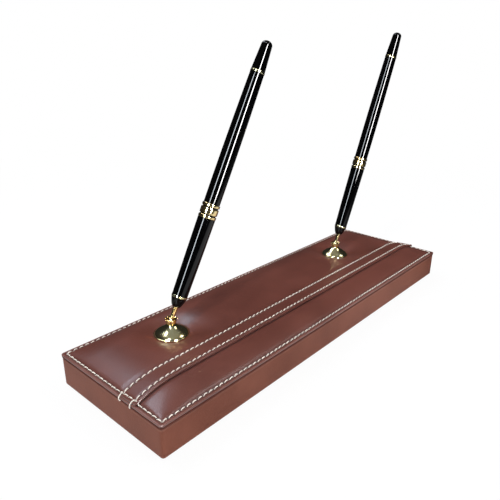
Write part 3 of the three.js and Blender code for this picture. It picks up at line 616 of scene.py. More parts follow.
def thick_sheet(top, thickness, round_mm, wave=0.0):
    """A closed sheet under a grid of top points. Its edge bulges outwards as a half superellipse:
    out = round times cos a to the edge's power, up = half the thickness times sin a."""
    rows, columns = top.shape[:2]
    bottom = top - [0, 0, thickness]
    loop = border(rows, columns)
    rim = top.reshape(-1, 3)[loop]
    along = np.roll(rim, -1, 0) - np.roll(rim, 1, 0)
    outward = np.stack([along[:, 1], -along[:, 0], 0 * along[:, 0]], -1)
    outward /= np.linalg.norm(outward, axis=1, keepdims=True)
    angle = np.linspace(math.pi / 2, -math.pi / 2, EDGE_STEPS + 2)[1:-1, None, None]
    ripple = 1 + wave * np.sin(rim[:, :1] * RIPPLE_X + rim[:, 1:2] * RIPPLE_Y)
    out = outward * round_mm * ripple * np.cos(angle) ** EDGE_POWER
    rings = rim - [0, 0, thickness / 2] + out + np.array([0, 0, thickness / 2]) * np.sin(angle)
    count = rows * columns
    points = np.vstack([top.reshape(-1, 3), rings.reshape(-1, 3), bottom.reshape(-1, 3)])
    flat = grid_faces(rows, columns)
    middle = count + np.arange(EDGE_STEPS * len(loop)).reshape(EDGE_STEPS, -1)
    to_bottom = count + middle.size
    below = flat[:, ::-1] + to_bottom
    levels = np.vstack([loop, middle, loop + to_bottom])
    after = np.roll(levels, -1, 1)
    sides = np.stack([levels[:-1], levels[1:], after[1:], after[:-1]], -1).reshape(-1, 4)
    return points, np.vstack([flat, sides, below]).tolist()


def edge_share(points, grid_points):
    """0 in the highest row of points round the edge of a sheet, 1 in the lowest."""
    rows = (len(points) - 2 * grid_points) // EDGE_STEPS
    return np.repeat(np.linspace(0, 1, EDGE_STEPS), rows)


grid_x, stitches_x = seam_grid(half_length, seam_x)
beside_lines = np.concatenate([band_low[1] - BAND_LINES, band_high[1] + BAND_LINES])
grid_y, stitches_y = seam_grid(half_width, seam_y, beside_lines)
band_pitch = 2 * seam_x / stitches_x
print("grid of", len(grid_x), "by", len(grid_y), "lines;", stitches_x, "and", stitches_y, "stitches a side")

# %% [markdown]
# The cover's own formula adds three small things to the padding: the groove along the seam, the pit at each
# needle hole, and the margin outside the seam, which slopes a little down to the edge. The same numbers give
# the leather finish its painted shade in the groove, at its holes and in the lines beside the band, and the
# margin's paler tone, which is partly wear and partly a painted highlight.

# %% The cover
GROOVE_DEPTH, GROOVE_WIDTH = 0.3, 0.75
PIT_DEPTH, PIT_WIDTH = 0.3, 0.55
MARGIN_DROP = 0.15
BAND_PRESS, BAND_SHADE = 0.1, 0.3  # depth and width of the line that the band presses in
# The two dark lines are painted: a shadow in front of the band's folded edge and shade just behind its back edge.
BESIDE_BAND, BEHIND_BAND = 0.1, 0.25  # how far from its two edges the dark lines lie
# Painted shade: how dark the groove, its holes and the band's line are painted.
GROOVE_PAINTED_SHADE, HOLE_PAINTED_SHADE, BAND_PAINTED_SHADOW = 0.45, 0.5, 0.95  # how dark the groove, its holes and the band's line are
# The margin's paler tone and the pale top of the cut edge are partly wear, partly a painted highlight; the cut
# edge's lower part is painted shade.
WEAR_HIGHLIGHT_SLOPE, WEAR_HIGHLIGHT_START = 1.3, 0.5  # of the paler tone on the margin
CUT_DARK, CUT_WEAR_HIGHLIGHT = 0.6, 0.8  # share of the way down the cut edge where it turns dark, and wear at its top


def pits(along, pitch):
    """1 at each needle hole, which lie a whole number of stitches apart, and 0 between them."""
    away = np.abs(along / pitch - np.round(along / pitch)) * pitch
    return ridge(away, PIT_WIDTH)


def cover_surface(x, y):
    """Height of the cover's top, its painted shade, and its paler tone of wear and painted highlight."""
    inside = np.minimum(seam_x - np.abs(x), seam_y - np.abs(y))
    groove = ridge(inside, GROOVE_WIDTH)
    on_end = seam_x - np.abs(x) < seam_y - np.abs(y)
    end_holes, side_holes = pits(y + seam_y, 2 * seam_y / stitches_y), pits(x + seam_x, band_pitch)
    hole = np.where(on_end, end_holes, side_holes)
    margin = np.clip(-inside / SEAM_INSET, 0, 1)
    # Painted shadow in front of the band's folded edge and painted shade behind its back edge.
    beside_band = ridge(y - band_low[1] + BESIDE_BAND, BAND_SHADE) * (np.abs(x) < seam_x)
    behind_band = ridge(y - band_high[1] - BEHIND_BAND, BAND_SHADE) * (np.abs(x) < seam_x)
    height = padding(x, y) - groove * (GROOVE_DEPTH + PIT_DEPTH * hole) - MARGIN_DROP * margin**2
    height = height - BAND_PRESS * beside_band
    painted_shade = np.clip(groove * (GROOVE_PAINTED_SHADE + HOLE_PAINTED_SHADE * hole) + BAND_PAINTED_SHADOW * beside_band + behind_band, 0, 1)
    return height, painted_shade, smooth(margin * WEAR_HIGHLIGHT_SLOPE - WEAR_HIGHLIGHT_START)


x, y = np.meshgrid(grid_x, grid_y, indexing="ij")
height, painted_shade, wear_and_highlight = cover_surface(x, y)
x, y = with_round_corners(x, y)
top = np.stack([x, y, height], -1)
cover_points, cover_faces = thick_sheet(top, COVER_THICKNESS, EDGE_ROUND, COVER_RIPPLE)
share = edge_share(cover_points, x.size)
# Painted shade grows down the cut edge and covers the underside; the edge's top is paler by wear and a painted
# highlight.
cover_facts = {
    "painted_shade": np.concatenate([painted_shade.ravel(), smooth((share - CUT_DARK) / (1 - CUT_DARK)), np.ones(x.size)]),
    "wear_and_highlight": np.concatenate([wear_and_highlight.ravel(), CUT_WEAR_HIGHLIGHT - CUT_WEAR_HIGHLIGHT * share, np.zeros(x.size)]),
}
cover = make_piece("leather_top", cover_points, cover_faces, "base", top_leather_shaded,
                   ["top_cover"], facts=cover_facts)
print("cover:", len(cover_faces), "faces")

# %% [markdown]
# ## Foam and lining
# The foam is a thin cushion between the cover and a board. Nobody sees it, but it is a real piece, so it gets
# the same crown on a coarser grid. The lining is the lower leather of the sewn edge: it shows as a second
# line under the first all the way round, so its edge is rounded and a little uneven too.

# %% Foam and lining
FOAM_GAP = 0.2
FOAM_INSET = 7.0
FOAM_LEAST = 0.05  # its thickness where the formula leaves no room
FOAM_ROUND = 0.02
FOAM_CELLS_PER_M = 900.0
FOAM_DARK, FOAM_LIGHT = colour(196, 184, 160), colour(232, 224, 205)
board_top = box_mm("pad_board")[1][2]
lining_low, lining_high = box_mm("top_lining")


def foam_paint(graph, where):
    """Pale foam with open cells."""
    cells = graph.value("TexVoronoi", {}, {"Vector": where, "Scale": FOAM_CELLS_PER_M})
    tone = graph.blend(cells, FOAM_DARK, FOAM_LIGHT)
    return tone, 0.85 + cells * 0.1, graph.bump(cells, 0.3, 0.6)


foam_finish = make_finish("foam", {}, foam_paint)
foam_x = np.linspace(FOAM_INSET - seam_x, seam_x - FOAM_INSET, 120)
foam_y = np.linspace(FOAM_INSET - seam_y, seam_y - FOAM_INSET, 40)
x, y = np.meshgrid(foam_x, foam_y, indexing="ij")
foam_top = padding(x, y) - COVER_THICKNESS - FOAM_GAP
foam_thick = np.maximum(foam_top - board_top - FOAM_GAP, FOAM_LEAST)
points, faces = thick_sheet(np.stack([x, y, foam_top], -1), FOAM_LEAST, FOAM_ROUND)
points[-x.size:, 2] -= foam_thick.ravel() - FOAM_LEAST
foam = make_piece("foam_cushion", points, faces, "base", foam_finish, ["foam_pad"])

lining_x, lining_y = np.linspace(-inner_x, inner_x, 151), np.linspace(-inner_y, inner_y, 51)
x, y = np.meshgrid(lining_x, lining_y, indexing="ij")
x, y = with_round_corners(x, y)
flat = np.stack([x, y, np.full(x.shape, lining_high[2])], -1)
points, faces = thick_sheet(flat, lining_high[2] - lining_low[2], EDGE_ROUND, LINING_RIPPLE)
share = 2 * edge_share(points, x.size) - 1
# Painted shade: the lining's faces are fully dark, and its rounded edge is half dark in the middle and fully dark
# at its top and bottom, where it meets the cover and the block.
painted_shade = np.concatenate([np.ones(x.size), 0.5 + 0.5 * share**4, np.ones(x.size)])
make_piece("lining_edge", points, faces, "base", side_leather_lit, ["top_lining"],
           facts={"painted_shade": painted_shade})
print("foam up to", round(float(foam_thick.max()), 1), "mm thick")

# %% [markdown]
# ## Leather round the block
# The sides are one strip of leather, glued round the block and turned over above and below. It is made as a
# profile carried round a rounded rectangle: each point of the profile is so far in from the outline and so
# high, and the outline shrinks by that amount.

# %% Side leather
BLOCK_CORNER = 1.6
LEAST_CORNER = 0.2
SIDE_SAMPLES, ARC_SAMPLES = 60, 7
WRAP_THICKNESS = 1.2
WRAP_LIP = 9.0
RUBBED = 1.4  # height of the strip along both edges that handling has made paler
# Painted shade: the leather is darkened within this of its very edge, where it turns over against the table and
# the cover.
TURN = 0.1  # the leather is dark within this of the very edge, where it turns over
wrap_low, wrap_high = box_mm("side_wrap")


def outline(half_x, half_y, radius):
    """Points once round a rounded rectangle, the same number whatever its size."""
    turn = np.linspace(0, math.pi / 2, ARC_SAMPLES)
    t = np.linspace(0, 1, SIDE_SAMPLES + 1)[:-1, None]
    made = []
    for quarter, (sx, sy) in enumerate([(1, 1), (-1, 1), (-1, -1), (1, -1)]):
        centre = np.array([sx * (half_x - radius), sy * (half_y - radius)])
        angle = turn + quarter * math.pi / 2
        made.append(centre + radius * np.stack([np.cos(angle), np.sin(angle)], -1))
    sides = [arc[-1] + (np.roll(np.array(made), -1, 0)[k][0] - arc[-1]) * t for k, arc in enumerate(made)]
    return np.vstack([part for k in range(4) for part in (made[k][:-1], sides[k])])


foot, head = wrap_low[2], wrap_high[2]
wrap_corners = [
    (WRAP_LIP, foot, 0), (0, foot, 0.4), (0, foot + RUBBED, 0), (0, head - RUBBED, 0), (0, head, 0.7),
    (WRAP_LIP, head, 0), (WRAP_LIP, head - WRAP_THICKNESS, 0),
    (WRAP_THICKNESS, head - WRAP_THICKNESS, 0.3), (WRAP_THICKNESS, foot + WRAP_THICKNESS, 0.3),
    (WRAP_LIP, foot + WRAP_THICKNESS, 0),
]
profile = eased(wrap_corners, 7)
outside = profile[:, 0] < WRAP_THICKNESS / 2
from_edge = np.minimum(profile[:, 1] - foot, head - profile[:, 1])
rings = np.stack([
    np.column_stack([outline(wrap_high[0] - d, wrap_high[1] - d, max(BLOCK_CORNER - d, LEAST_CORNER)),
                     np.full(4 * (SIDE_SAMPLES + ARC_SAMPLES - 1), z)])
    for d, z in profile
])
faces = grid_faces(*rings.shape[:2], True, True)[:, ::-1].tolist()
rubbed = outside & (from_edge < RUBBED / 2) & (from_edge > TURN)
# A paler rubbed strip along both edges, which is wear, and painted shade where the leather turns over.
wear_and_highlight, painted_shade = [np.repeat(fact, rings.shape[1]) for fact in (rubbed * 0.6, (from_edge <= TURN) * 0.9)]
make_piece("side_leather_lit", rings, faces, "base", side_leather_lit, ["side_wrap"],
           sharp_deg=60, facts={"wear_and_highlight": wear_and_highlight, "painted_shade": painted_shade})
print("side leather:", len(faces), "faces")

# %% [markdown]
# ## The band
# A strip of leather runs along the top. Its front edge is folded double, so it stands up and throws a thin
# dark line in front of it. Two rows of stitches hold it. Its section is a closed loop of points, and the
# loop is carried along the block on the padding's own height.

# %% Band
BAND_FRONT_THICKNESS, BAND_BACK_THICKNESS = 1.7, 0.7
FRONT_STITCHES, BACK_STITCHES = 2.7, 1.7  # from the band's front and back edges
FOLD_RADIUS = 0.82
FOLD_SWELL, SWELL_AT, SWELL_WIDTH = 0.15, 1.2, 0.8  # height, place behind the front edge, and width
ROW_DEPTH, ROW_WIDTH = 0.38, 0.7
ROW_BETWEEN, ROW_AT_HOLE = 0.75, 0.6  # share of that depth between the needle holes, and what a hole adds
# How dark the band's stitch rows are painted, as shade.
ROW_PAINTED_SHADE = 0.35
SEAM_PULL, SEAM_WIDTH = 0.35, 0.9  # where the sewn edge of the cover crosses the band
HEM_RADIUS, HEM_MIDDLE = 0.3, 0.35
FOLD_ARC, HEM_ARC = (-110, 75, 10), (60, -60, 5)  # from, to and number of points, in degrees
FLAT_FROM, FLAT_TO, TUCKED = 0.9, 0.35, 2  # from the band's edges: its flat part, and the last point below
BAND_SINK, BAND_END = 0.02, 0.15  # into the padding, and short of the cover's end
band_front, band_back = band_low[1], band_high[1]
front_row, back_row = band_front + FRONT_STITCHES, band_back - BACK_STITCHES


def band_height(x, y):
    """Thickness of the band over the padding: it falls from the front to the back, swells at the fold, and
    is drawn in along both rows of stitches, most at the needle holes."""
    across = (y - band_front) / (band_back - band_front)
    full = BAND_FRONT_THICKNESS + (BAND_BACK_THICKNESS - BAND_FRONT_THICKNESS) * across
    full = full + FOLD_SWELL * ridge(y - band_front - SWELL_AT, SWELL_WIDTH)
    hole = pits(x + seam_x, band_pitch)
    for row in (front_row, back_row):
        full = full - ridge(y - row, ROW_WIDTH) * ROW_DEPTH * (ROW_BETWEEN + ROW_AT_HOLE * hole)
    return full - SEAM_PULL * ridge(seam_x - np.abs(x), SEAM_WIDTH)


fold_turn = np.radians(np.linspace(*FOLD_ARC))
fold_y = band_front + FOLD_RADIUS * (1 - np.cos(fold_turn))
fold_z = FOLD_RADIUS * (1 + np.sin(fold_turn))
flat_y = np.linspace(band_front + FLAT_FROM, band_back - FLAT_TO, 40)
hem_turn = np.radians(np.linspace(*HEM_ARC))
hem_y = band_back - HEM_RADIUS + HEM_RADIUS * np.cos(hem_turn)
section_y = np.concatenate([fold_y, flat_y, hem_y, [band_back - TUCKED]])
x, y = np.meshgrid(grid_x, section_y, indexing="ij")
z = band_height(x, y)
fold = len(fold_y)
z[:, :fold] = fold_z * (z[:, fold] / (2 * FOLD_RADIUS))[:, None]
z[:, fold + len(flat_y):-1] = HEM_MIDDLE + HEM_RADIUS * np.sin(hem_turn)
z[:, -1] = BAND_SINK
x = np.sign(x) * np.minimum(np.abs(x), half_length - BAND_END)
rings = np.stack([x, y, padding(x, y) + z - BAND_SINK], -1)
faces = tube_faces(1, *x.shape)
hole = pits(x + seam_x, band_pitch)
# Painted shade along both rows of stitches, darker at the needle holes.
painted_shade = sum(ridge(y - row, ROW_WIDTH) for row in (front_row, back_row)) * (ROW_PAINTED_SHADE + HOLE_PAINTED_SHADE * hole)
make_piece("leather_band", rings, faces, "base", top_leather_shaded, ["cover_band"],
           sharp_deg=70, facts={"painted_shade": np.clip(painted_shade, 0, 1)})
print("band:", len(faces), "faces")

# %% [markdown]
# ## Stitches
# The thread is thick, cream and slightly slanted from hole to hole, as a lock stitch is. Each stitch is a
# short tube that dives into the leather at both ends. All the stitches of a seam are worked out together, as
# one array of tubes, each with a few dozen faces. Both rows of the band end in a loose bit of thread that
# hangs over the left edge.

# %% Thread and stitches
THREAD_RADIUS, LOOSE_RADIUS = 0.34, 0.31
STITCH_SHARE = 0.44  # half the length of a stitch, as a share of the pitch
STITCH_LIFT, STITCH_SINK = 0.34, 0.4
STITCH_SLANT = math.radians(9)
WANDER, LENGTH_SPREAD, SLANT_SPREAD = 0.05, 0.025, 0.03  # how much the stitches differ from each other
END_FULLNESS = 1.02  # at 1 the tube would close to a point
TWIST_MM, STRAND_LEAN = 0.55, 0.4
STITCH_RINGS, STITCH_SIDES = 9, 6
ON_COVER, ON_BAND, OVER_BAND = 0.12, 0.1, 0.2  # a little extra height of the thread over what it lies on
CLIMB = 0.4  # the thread climbs onto the band from this far before its edge to this far behind it
FUZZ_PER_M = 3000.0
THREAD_DARK, THREAD_LIGHT = colour(244, 230, 212), colour(255, 252, 244)
chance = np.random.default_rng(7)


def thread_paint(graph, where):
    """Cream thread: the twist attribute counts its turns, and a sine of it gives the strands."""
    turns = graph.fact("twist") * (2 * math.pi)
    strands = graph.value("Math", {"operation": "SINE"}, {0: turns}) * 0.5 + 0.5
    fuzz = graph.noise(where, FUZZ_PER_M)
    tone = graph.blend(strands * 0.6 + fuzz * 0.3, THREAD_DARK, THREAD_LIGHT)
    return tone, 0.55 + fuzz * 0.15, graph.bump(strands, 0.06, 0.7)


thread = make_finish("thread", {"Specular IOR Level": 0.3}, thread_paint)


def stitch_row(start, end, count, surface):
    """Stitches between two points: each is a tube whose middle line is s along, slant s across, and
    lift (1 - q squared) - sink q to the sixth above the surface, where q is s over the half length."""
    start, end = np.array(start, float), np.array(end, float)
    tangent = (end - start) / np.linalg.norm(end - start)
    normal = np.array([-tangent[1], tangent[0]])
    pitch = np.linalg.norm(end - start) / count
    middle = start + np.outer((np.arange(count) + 0.5) * pitch, tangent)
    middle = middle + np.outer(chance.normal(0, WANDER, count), normal)
    half = pitch * STITCH_SHARE * chance.normal(1, LENGTH_SPREAD, count)[:, None, None]
    slant = np.tan(STITCH_SLANT + chance.normal(0, SLANT_SPREAD, count))[:, None, None]
    q = np.sin(np.linspace(-math.pi / 2, math.pi / 2, STITCH_RINGS))[None, :, None]
    angle = (np.arange(STITCH_SIDES) / STITCH_SIDES * 2 * math.pi)[None, None, :]
    radius = THREAD_RADIUS * np.sqrt(np.clip(END_FULLNESS - q**6, 0, 1))
    s, across = q * half, slant * q * half + radius * np.cos(angle)
    core_x, core_y = [middle[:, k, None, None] + s * tangent[k] for k in (0, 1)]
    x, y = core_x + across * normal[0], core_y + across * normal[1]
    z = surface(core_x, core_y) + STITCH_LIFT * (1 - q**2) - STITCH_SINK * q**6 + radius * np.sin(angle)
    twist = s / TWIST_MM + STRAND_LEAN * np.sin(angle)
    return np.stack(np.broadcast_arrays(x, y, z), -1), np.broadcast_to(twist, z.shape)


def loose_end(controls):
    """The end of a row's thread along a Bezier curve, in the form of a row with a single stitch."""
    t = np.linspace(0, 1, STITCH_RINGS)[:, None]
    line = controls[:, None]
    while len(line) > 1:
        line = line[:-1] * (1 - t) + line[1:] * t
    line = line[0]
    along = np.gradient(line, axis=0)
    along /= np.linalg.norm(along, axis=1, keepdims=True)
    first = np.cross(along, [0.0, 1.0, 0.0])
    first /= np.linalg.norm(first, axis=1, keepdims=True)
    second = np.cross(along, first)
    angle = (np.arange(STITCH_SIDES) / STITCH_SIDES * 2 * math.pi)[None, :, None]
    ring = first[:, None] * np.cos(angle) + second[:, None] * np.sin(angle)
    length = np.linspace(0, np.linalg.norm(np.diff(line, axis=0), axis=1).sum(), STITCH_RINGS)[:, None]
    twist = length / TWIST_MM + STRAND_LEAN * np.sin(angle[..., 0])
    return (line[:, None] + LOOSE_RADIUS * ring)[None], twist[None]


def sew(name, rows):
    """One piece from several rows of stitches, with the ends of every stitch closed."""
    points, twist = [np.concatenate(part) for part in zip(*rows)]
    faces = tube_faces(len(points), STITCH_RINGS, STITCH_SIDES)
    make_piece(name, points, faces, "base", thread, facts={"twist": twist})
    return len(points)


def on_cover(x, y):
    """The top of the cover and a little."""
    return cover_surface(x, y)[0] + ON_COVER


def on_edge(x, y):
    """On the margin of the cover, or on the band where that crosses the seam."""
    over = smooth((y - band_front + CLIMB) / (2 * CLIMB)) * smooth((band_back + CLIMB - y) / (2 * CLIMB))
    return on_cover(x, y) + over * (band_height(x, y) + OVER_BAND)


def on_band(x, y):
    """The padding, the thickness of the band and a little."""
    return padding(x, y) + band_height(x, y) + ON_BAND


corners = [(-seam_x, -seam_y), (seam_x, -seam_y), (seam_x, seam_y), (-seam_x, seam_y)]
sides = zip(corners, corners[1:] + corners[:1], [stitches_x, stitches_y] * 2)
edge_rows = [stitch_row(*side, on_edge) for side in sides]
print("edge:", sew("edge_stitches", edge_rows), "stitches")
loose_ends = {  # from where each row crosses the left edge
    "front": [(2.2, 0, 1.9), (0, -0.1, 2.1), (-1.2, 0.1, 0.4), (-0.7, 0.2, -1.6)],
    "back": [(2.4, 0.1, 1.3), (0.4, -0.8, 1.7), (-1.5, -1.1, 0.6), (-0.9, -0.3, -1.2), (-0.3, -1.4, -1.7)],
}
for label, row in (("front", front_row), ("back", back_row)):
    made = stitch_row((-seam_x, row), (seam_x, row), stitches_x, on_band)
    loose = loose_end(np.array(loose_ends[label]) + [-half_length, row, edge_top])
    print(label, "row:", sew(f"band_{label}_stitches", [made, loose]), "stitches")

# %% [markdown]
# ## Metal and lacquer
# The bells and the pens' rings are plated in a pale gold that leans to green, polished but handled: its
# roughness changes slowly, and a very fine grain stands for polishing marks. The parts that rub on each
# other, which are the crown, the ball and the pen's nose, show a warmer gold, and so do the three bands.
# Besides wear, this warmer gold is a painted reflection of the brown leather that these small parts face.
# The pens are lacquered in a deep black. Lacquer is smooth, so only faint smudges and a trace of orange peel
# tell it from glass. Its specular level is set a little low, because polished black lacquer reflects less
# than the shader's usual plastic.

# %% Finishes of the hard parts
GOLD_PALE, GOLD_DULL = colour(232, 230, 188), colour(222, 206, 150)
# The warmer pair: partly rubbed plating, partly a painted reflection of the leather in the small gold parts.
GOLD_WARM, GOLD_WORN_AND_REFLECTING = colour(240, 222, 168), colour(224, 188, 122)
LACQUER_CLEAN, LACQUER_SMUDGED = (0.0008, 0.0008, 0.001, 1), (0.0016, 0.0016, 0.002, 1)  # linear light
HAZE_PER_M, POLISH_PER_M, SMUDGES_PER_M, PEEL_PER_M = 90.0, 6000.0, 70.0, 400.0
PLAIN = {  # metallic, the two tones, roughness, grain per metre and depth of the grain in mm
    "bare_brass": (1.0, (190, 150, 80), (214, 178, 104), 0.28, 300.0, 0.03),
    "steel": (1.0, (150, 152, 156), (186, 188, 192), 0.32, 400.0, 0.03),
    "felt": (0.0, (24, 20, 19), (44, 38, 36), 0.93, 1800.0, 0.3),
    "wood": (0.0, (150, 112, 72), (182, 144, 98), 0.6, 150.0, 0.03),
    "board": (0.0, (120, 108, 92), (150, 138, 120), 0.8, 500.0, 0.03),
    "refill_plastic": (0.0, (196, 196, 188), (214, 214, 206), 0.35, 200.0, 0.03),
}


def gold_paint(clean, handled):
    """Polished plating between two tones, with a haze that makes it a little rougher."""
    def varied(graph, where):
        haze = graph.stretch(graph.noise(where, HAZE_PER_M, 3.0), PATCH_FROM, PATCH_TO)
        marks = graph.noise(where, POLISH_PER_M)
        tone = graph.blend(haze, clean, handled)
        return tone, 0.1 + haze * 0.05 + marks * 0.03, graph.bump(marks, 0.01, 0.3)
    return varied


def lacquer_paint(graph, where):
    """Deep black that smudges make a little duller, with a faint bump like the skin of an orange."""
    smudge = graph.stretch(graph.noise(where, SMUDGES_PER_M, 4.0), 0.45, 0.75)
    tone = graph.blend(smudge, LACQUER_CLEAN, LACQUER_SMUDGED)
    return tone, 0.035 + smudge * 0.04, graph.bump(graph.noise(where, PEEL_PER_M), 0.012, 0.25)


def cloudy_paint(dark, light, rough, scale, depth_mm):
    """A plain finish between two tones, with a grain of the given scale per metre."""
    def varied(graph, where):
        grain = graph.noise(where, scale, 3.0)
        tone = graph.blend(graph.stretch(grain, PATCH_FROM, PATCH_TO), colour(*dark), colour(*light))
        return tone, rough - 0.05 + grain * 0.1, graph.bump(grain, depth_mm, 0.5)
    return varied


gold = make_finish("gold", {"Metallic": 1.0}, gold_paint(GOLD_PALE, GOLD_DULL))
warm_gold_and_painted_reflection = make_finish("warm_gold_and_painted_reflection", {"Metallic": 1.0}, gold_paint(GOLD_WARM, GOLD_WORN_AND_REFLECTING))
lacquer = make_finish("black_lacquer", {"Specular IOR Level": 0.3}, lacquer_paint)
finishes = {
    name: make_finish(name, {"Metallic": metallic}, cloudy_paint(*look))
    for name, (metallic, *look) in PLAIN.items()
}
print(3 + len(finishes), "finishes for hard parts")

# %% [markdown]
# ## Holders
# Each holder is a spun bell with a thin rim. Eight spring petals stand on it and close on a ball, so the pen
# can lean any way and stays where it is put. The bell, the collar and the ball are turned profiles. A petal
# is one section carried over its share of the circle, less half a slot at each side.

# %% Bell, crown and ball
BELL_RIM, BELL_EDGE = 0.8, 0.4
BELL_EDGE_ARC = (-1.4, 1.2, 9)  # from, to and number of points of its round edge, in radians from outwards
NECK_RADIUS = 2.85
BELL_SHOULDER, BELL_HOLLOW = (-1.1, 1.8), (2.0, -2.5)  # pulls of the curve above the rim and under the neck
BELL_WALL, TAIL_PLAY = 0.9, 0.2
BELL_LAND = 1.6  # width of the face that the bell stands on
TAIL_RADIUS, TAIL_BORE, TAIL_LENGTH = 2.05, 1.55, 7.0
BALL_RADIUS, BALL_PLAY = 2.6, 0.1
BALL_BORE, BALL_FLOOR, MOUTH_CHAMFER = 1.65, -1.8, 0.2
CROWN_WALL, CROWN_SLOT = 0.6, 0.6
CROWN_LIP, CROWN_TIP, TIP_FLARE = 1.0, 0.75, 0.75  # above the ball's centre, above the lip, and outwards
TIP_ROUND = [[0.9, -0.1], [0.45, 0.1], [0.1, -0.05]]  # points over a petal's tip, in thicknesses of its wall
SLOT_FLOOR = 1.1  # below the ball's centre
OVERLAP = 0.1  # of a petal's root and of the tail with the collar
COLLAR_OUTSIDE, COLLAR_INSIDE = (127, 109, 5), (112, 145, 6)  # degrees from the top, and number of points
PETALS, PETAL_STEPS = 8, 9
SOCKET = BALL_RADIUS + BALL_PLAY
PETAL_EASE = 0.07
ROUND_COUNT = 128
SHARP_DEG = 35  # edges of metal and lacquer that are steeper than this stay sharp
upright = np.eye(3)


def lathe(name, profile, origin, axes, body, finish, node):
    """A profile turned round Z, then given an origin and axes."""
    points, faces = turned(profile, ROUND_COUNT)
    make_piece(name, points @ axes.T + origin, faces, body, finish, [node], SHARP_DEG)


def arc(radius, from_deg, to_deg, steps, middle=0.0):
    """Points of a circle about a height on the axis, by the angle from straight up."""
    angle = np.radians(np.linspace(from_deg, to_deg, steps))
    return np.column_stack([radius * np.sin(angle), middle + radius * np.cos(angle)])


def bell_profile(radius, height):
    """Rim edge, then a cubic Bezier curve from the rim over a round shoulder to the neck, and back down
    inside: (1 - t) cubed, 3 t (1 - t) squared, 3 t squared (1 - t) and t cubed weigh its four points."""
    t = np.linspace(0, 1, 37)[:, None]
    rim, neck = np.array([radius - BELL_EDGE, BELL_RIM]), np.array([NECK_RADIUS, height])
    shoulder, hollow = rim + BELL_SHOULDER, neck + BELL_HOLLOW
    flare = (1 - t) ** 3 * rim + 3 * t * (1 - t) ** 2 * shoulder + 3 * t**2 * (1 - t) * hollow + t**3 * neck
    turn = np.linspace(*BELL_EDGE_ARC)
    edge = [radius - BELL_EDGE, BELL_EDGE] + BELL_EDGE * np.column_stack([np.cos(turn), np.sin(turn)])
    inner = flare[::-4] - [BELL_WALL, BELL_WALL]
    bore = TAIL_RADIUS + TAIL_PLAY
    inner = inner[(inner[:, 0] > bore) & (inner[:, 1] > 0)]
    return np.vstack([edge, flare, [[bore, height], [bore, inner[0, 1]]], inner, [[radius - BELL_LAND, 0]]])


def petal_section(middle):
    """Closed outline of a petal in radius and height: up outside, over the opened tip, and down inside."""
    root = math.degrees(math.acos(-(SLOT_FLOOR + OVERLAP) / (SOCKET + CROWN_WALL)))
    lip = math.degrees(math.acos(CROWN_LIP / SOCKET))
    outer = arc(SOCKET + CROWN_WALL, root, lip + 6, 12, middle)
    inner = arc(SOCKET, lip, root, 12, middle)
    tip = inner[0] + [TIP_FLARE, CROWN_TIP]
    rounding = tip + np.array(TIP_ROUND) * CROWN_WALL
    return np.vstack([outer, rounding, inner])


def petals(middle):
    """Every petal as section times angle: the angle keeps half a slot away from the next petal's."""
    section = petal_section(middle)
    half = math.pi / PETALS - np.arcsin(CROWN_SLOT / 2 / section[:, 0])
    across = np.linspace(-1, 1, PETAL_STEPS)[:, None] * half
    centre = (np.arange(PETALS) + 0.5)[:, None, None] * 2 * math.pi / PETALS
    angle = centre + across
    points = np.broadcast_arrays(section[:, 0] * np.cos(angle), section[:, 0] * np.sin(angle), section[:, 1])
    return np.stack(points, -1).reshape(-1, 3), tube_faces(PETALS, PETAL_STEPS, len(section))


def make_holder(side):
    """The bell, crown and ball of one side, on the foot level that the bell's box gives."""
    low, high = box_mm(f"{side}_bell")
    centre = ball_centres[side]
    foot = np.array([*centre[:2], low[2]])
    middle, height = centre[2] - low[2], high[2] - low[2]
    bell = bell_profile((high[0] - low[0]) / 2, height)
    lathe(f"{side}_gold_bell", bell, foot, upright, "base", gold, f"{side}_bell")
    collar = np.vstack([
        [[TAIL_BORE, -TAIL_LENGTH], [TAIL_RADIUS, -TAIL_LENGTH], [TAIL_RADIUS, height + OVERLAP]],
        arc(SOCKET + CROWN_WALL, *COLLAR_OUTSIDE, middle), arc(SOCKET, *COLLAR_INSIDE, middle),
    ])
    points, faces = petals(middle)
    ring, ring_faces = turned(collar, ROUND_COUNT)
    faces += (np.array(ring_faces) + len(points)).tolist()
    points = np.vstack([points, ring]) + foot
    crown_piece = make_piece(f"{side}_gold_crown", points, faces, "base", warm_gold_and_painted_reflection,
                             [f"{side}_crown"], SHARP_DEG)
    bevel = crown_piece.modifiers.new("soft edges", "BEVEL")
    bevel.width, bevel.segments = PETAL_EASE * MM, 2
    mouth = math.asin((BALL_BORE + MOUTH_CHAMFER) / BALL_RADIUS)
    bore_top = BALL_RADIUS * math.cos(mouth) - MOUTH_CHAMFER
    bore = [[BALL_BORE, bore_top], [BALL_BORE, BALL_FLOOR], [0, BALL_FLOOR]]
    ball = np.vstack([arc(BALL_RADIUS, 180, math.degrees(mouth), 40), bore])
    ball[0, 0] = 0
    axes, body = pen_axes(side), f"{side}_ball"
    lathe(f"{side}_gold_ball", ball, centre, axes, body, warm_gold_and_painted_reflection, body)


def pen_axes(side):
    """Axes of a pen: Z runs up the pen, as its pull-out joint does."""
    along = np.array(joints[f"{side}_pull_out"]["axis"], float)
    first = np.cross([0, 1, 0], along)
    first /= np.linalg.norm(first)
    return np.column_stack([first, np.cross(along, first), along])


for side in ball_centres:
    make_holder(side)
print("eight petals of", len(petal_section(0)), "points in section")

# %% [markdown]
# ## Pens
# A pen is a row of turned pieces on one axis: a thin tube that stands in the ball, a bullet-shaped cone, a
# gold ring, a barrel that widens upwards, three gold bands, a second barrel, another ring and a domed cap.
# Distances run up the pen from the centre of its ball. All outer edges are eased, because a plated or
# lacquered edge is never sharp, and a small round is what catches the light.

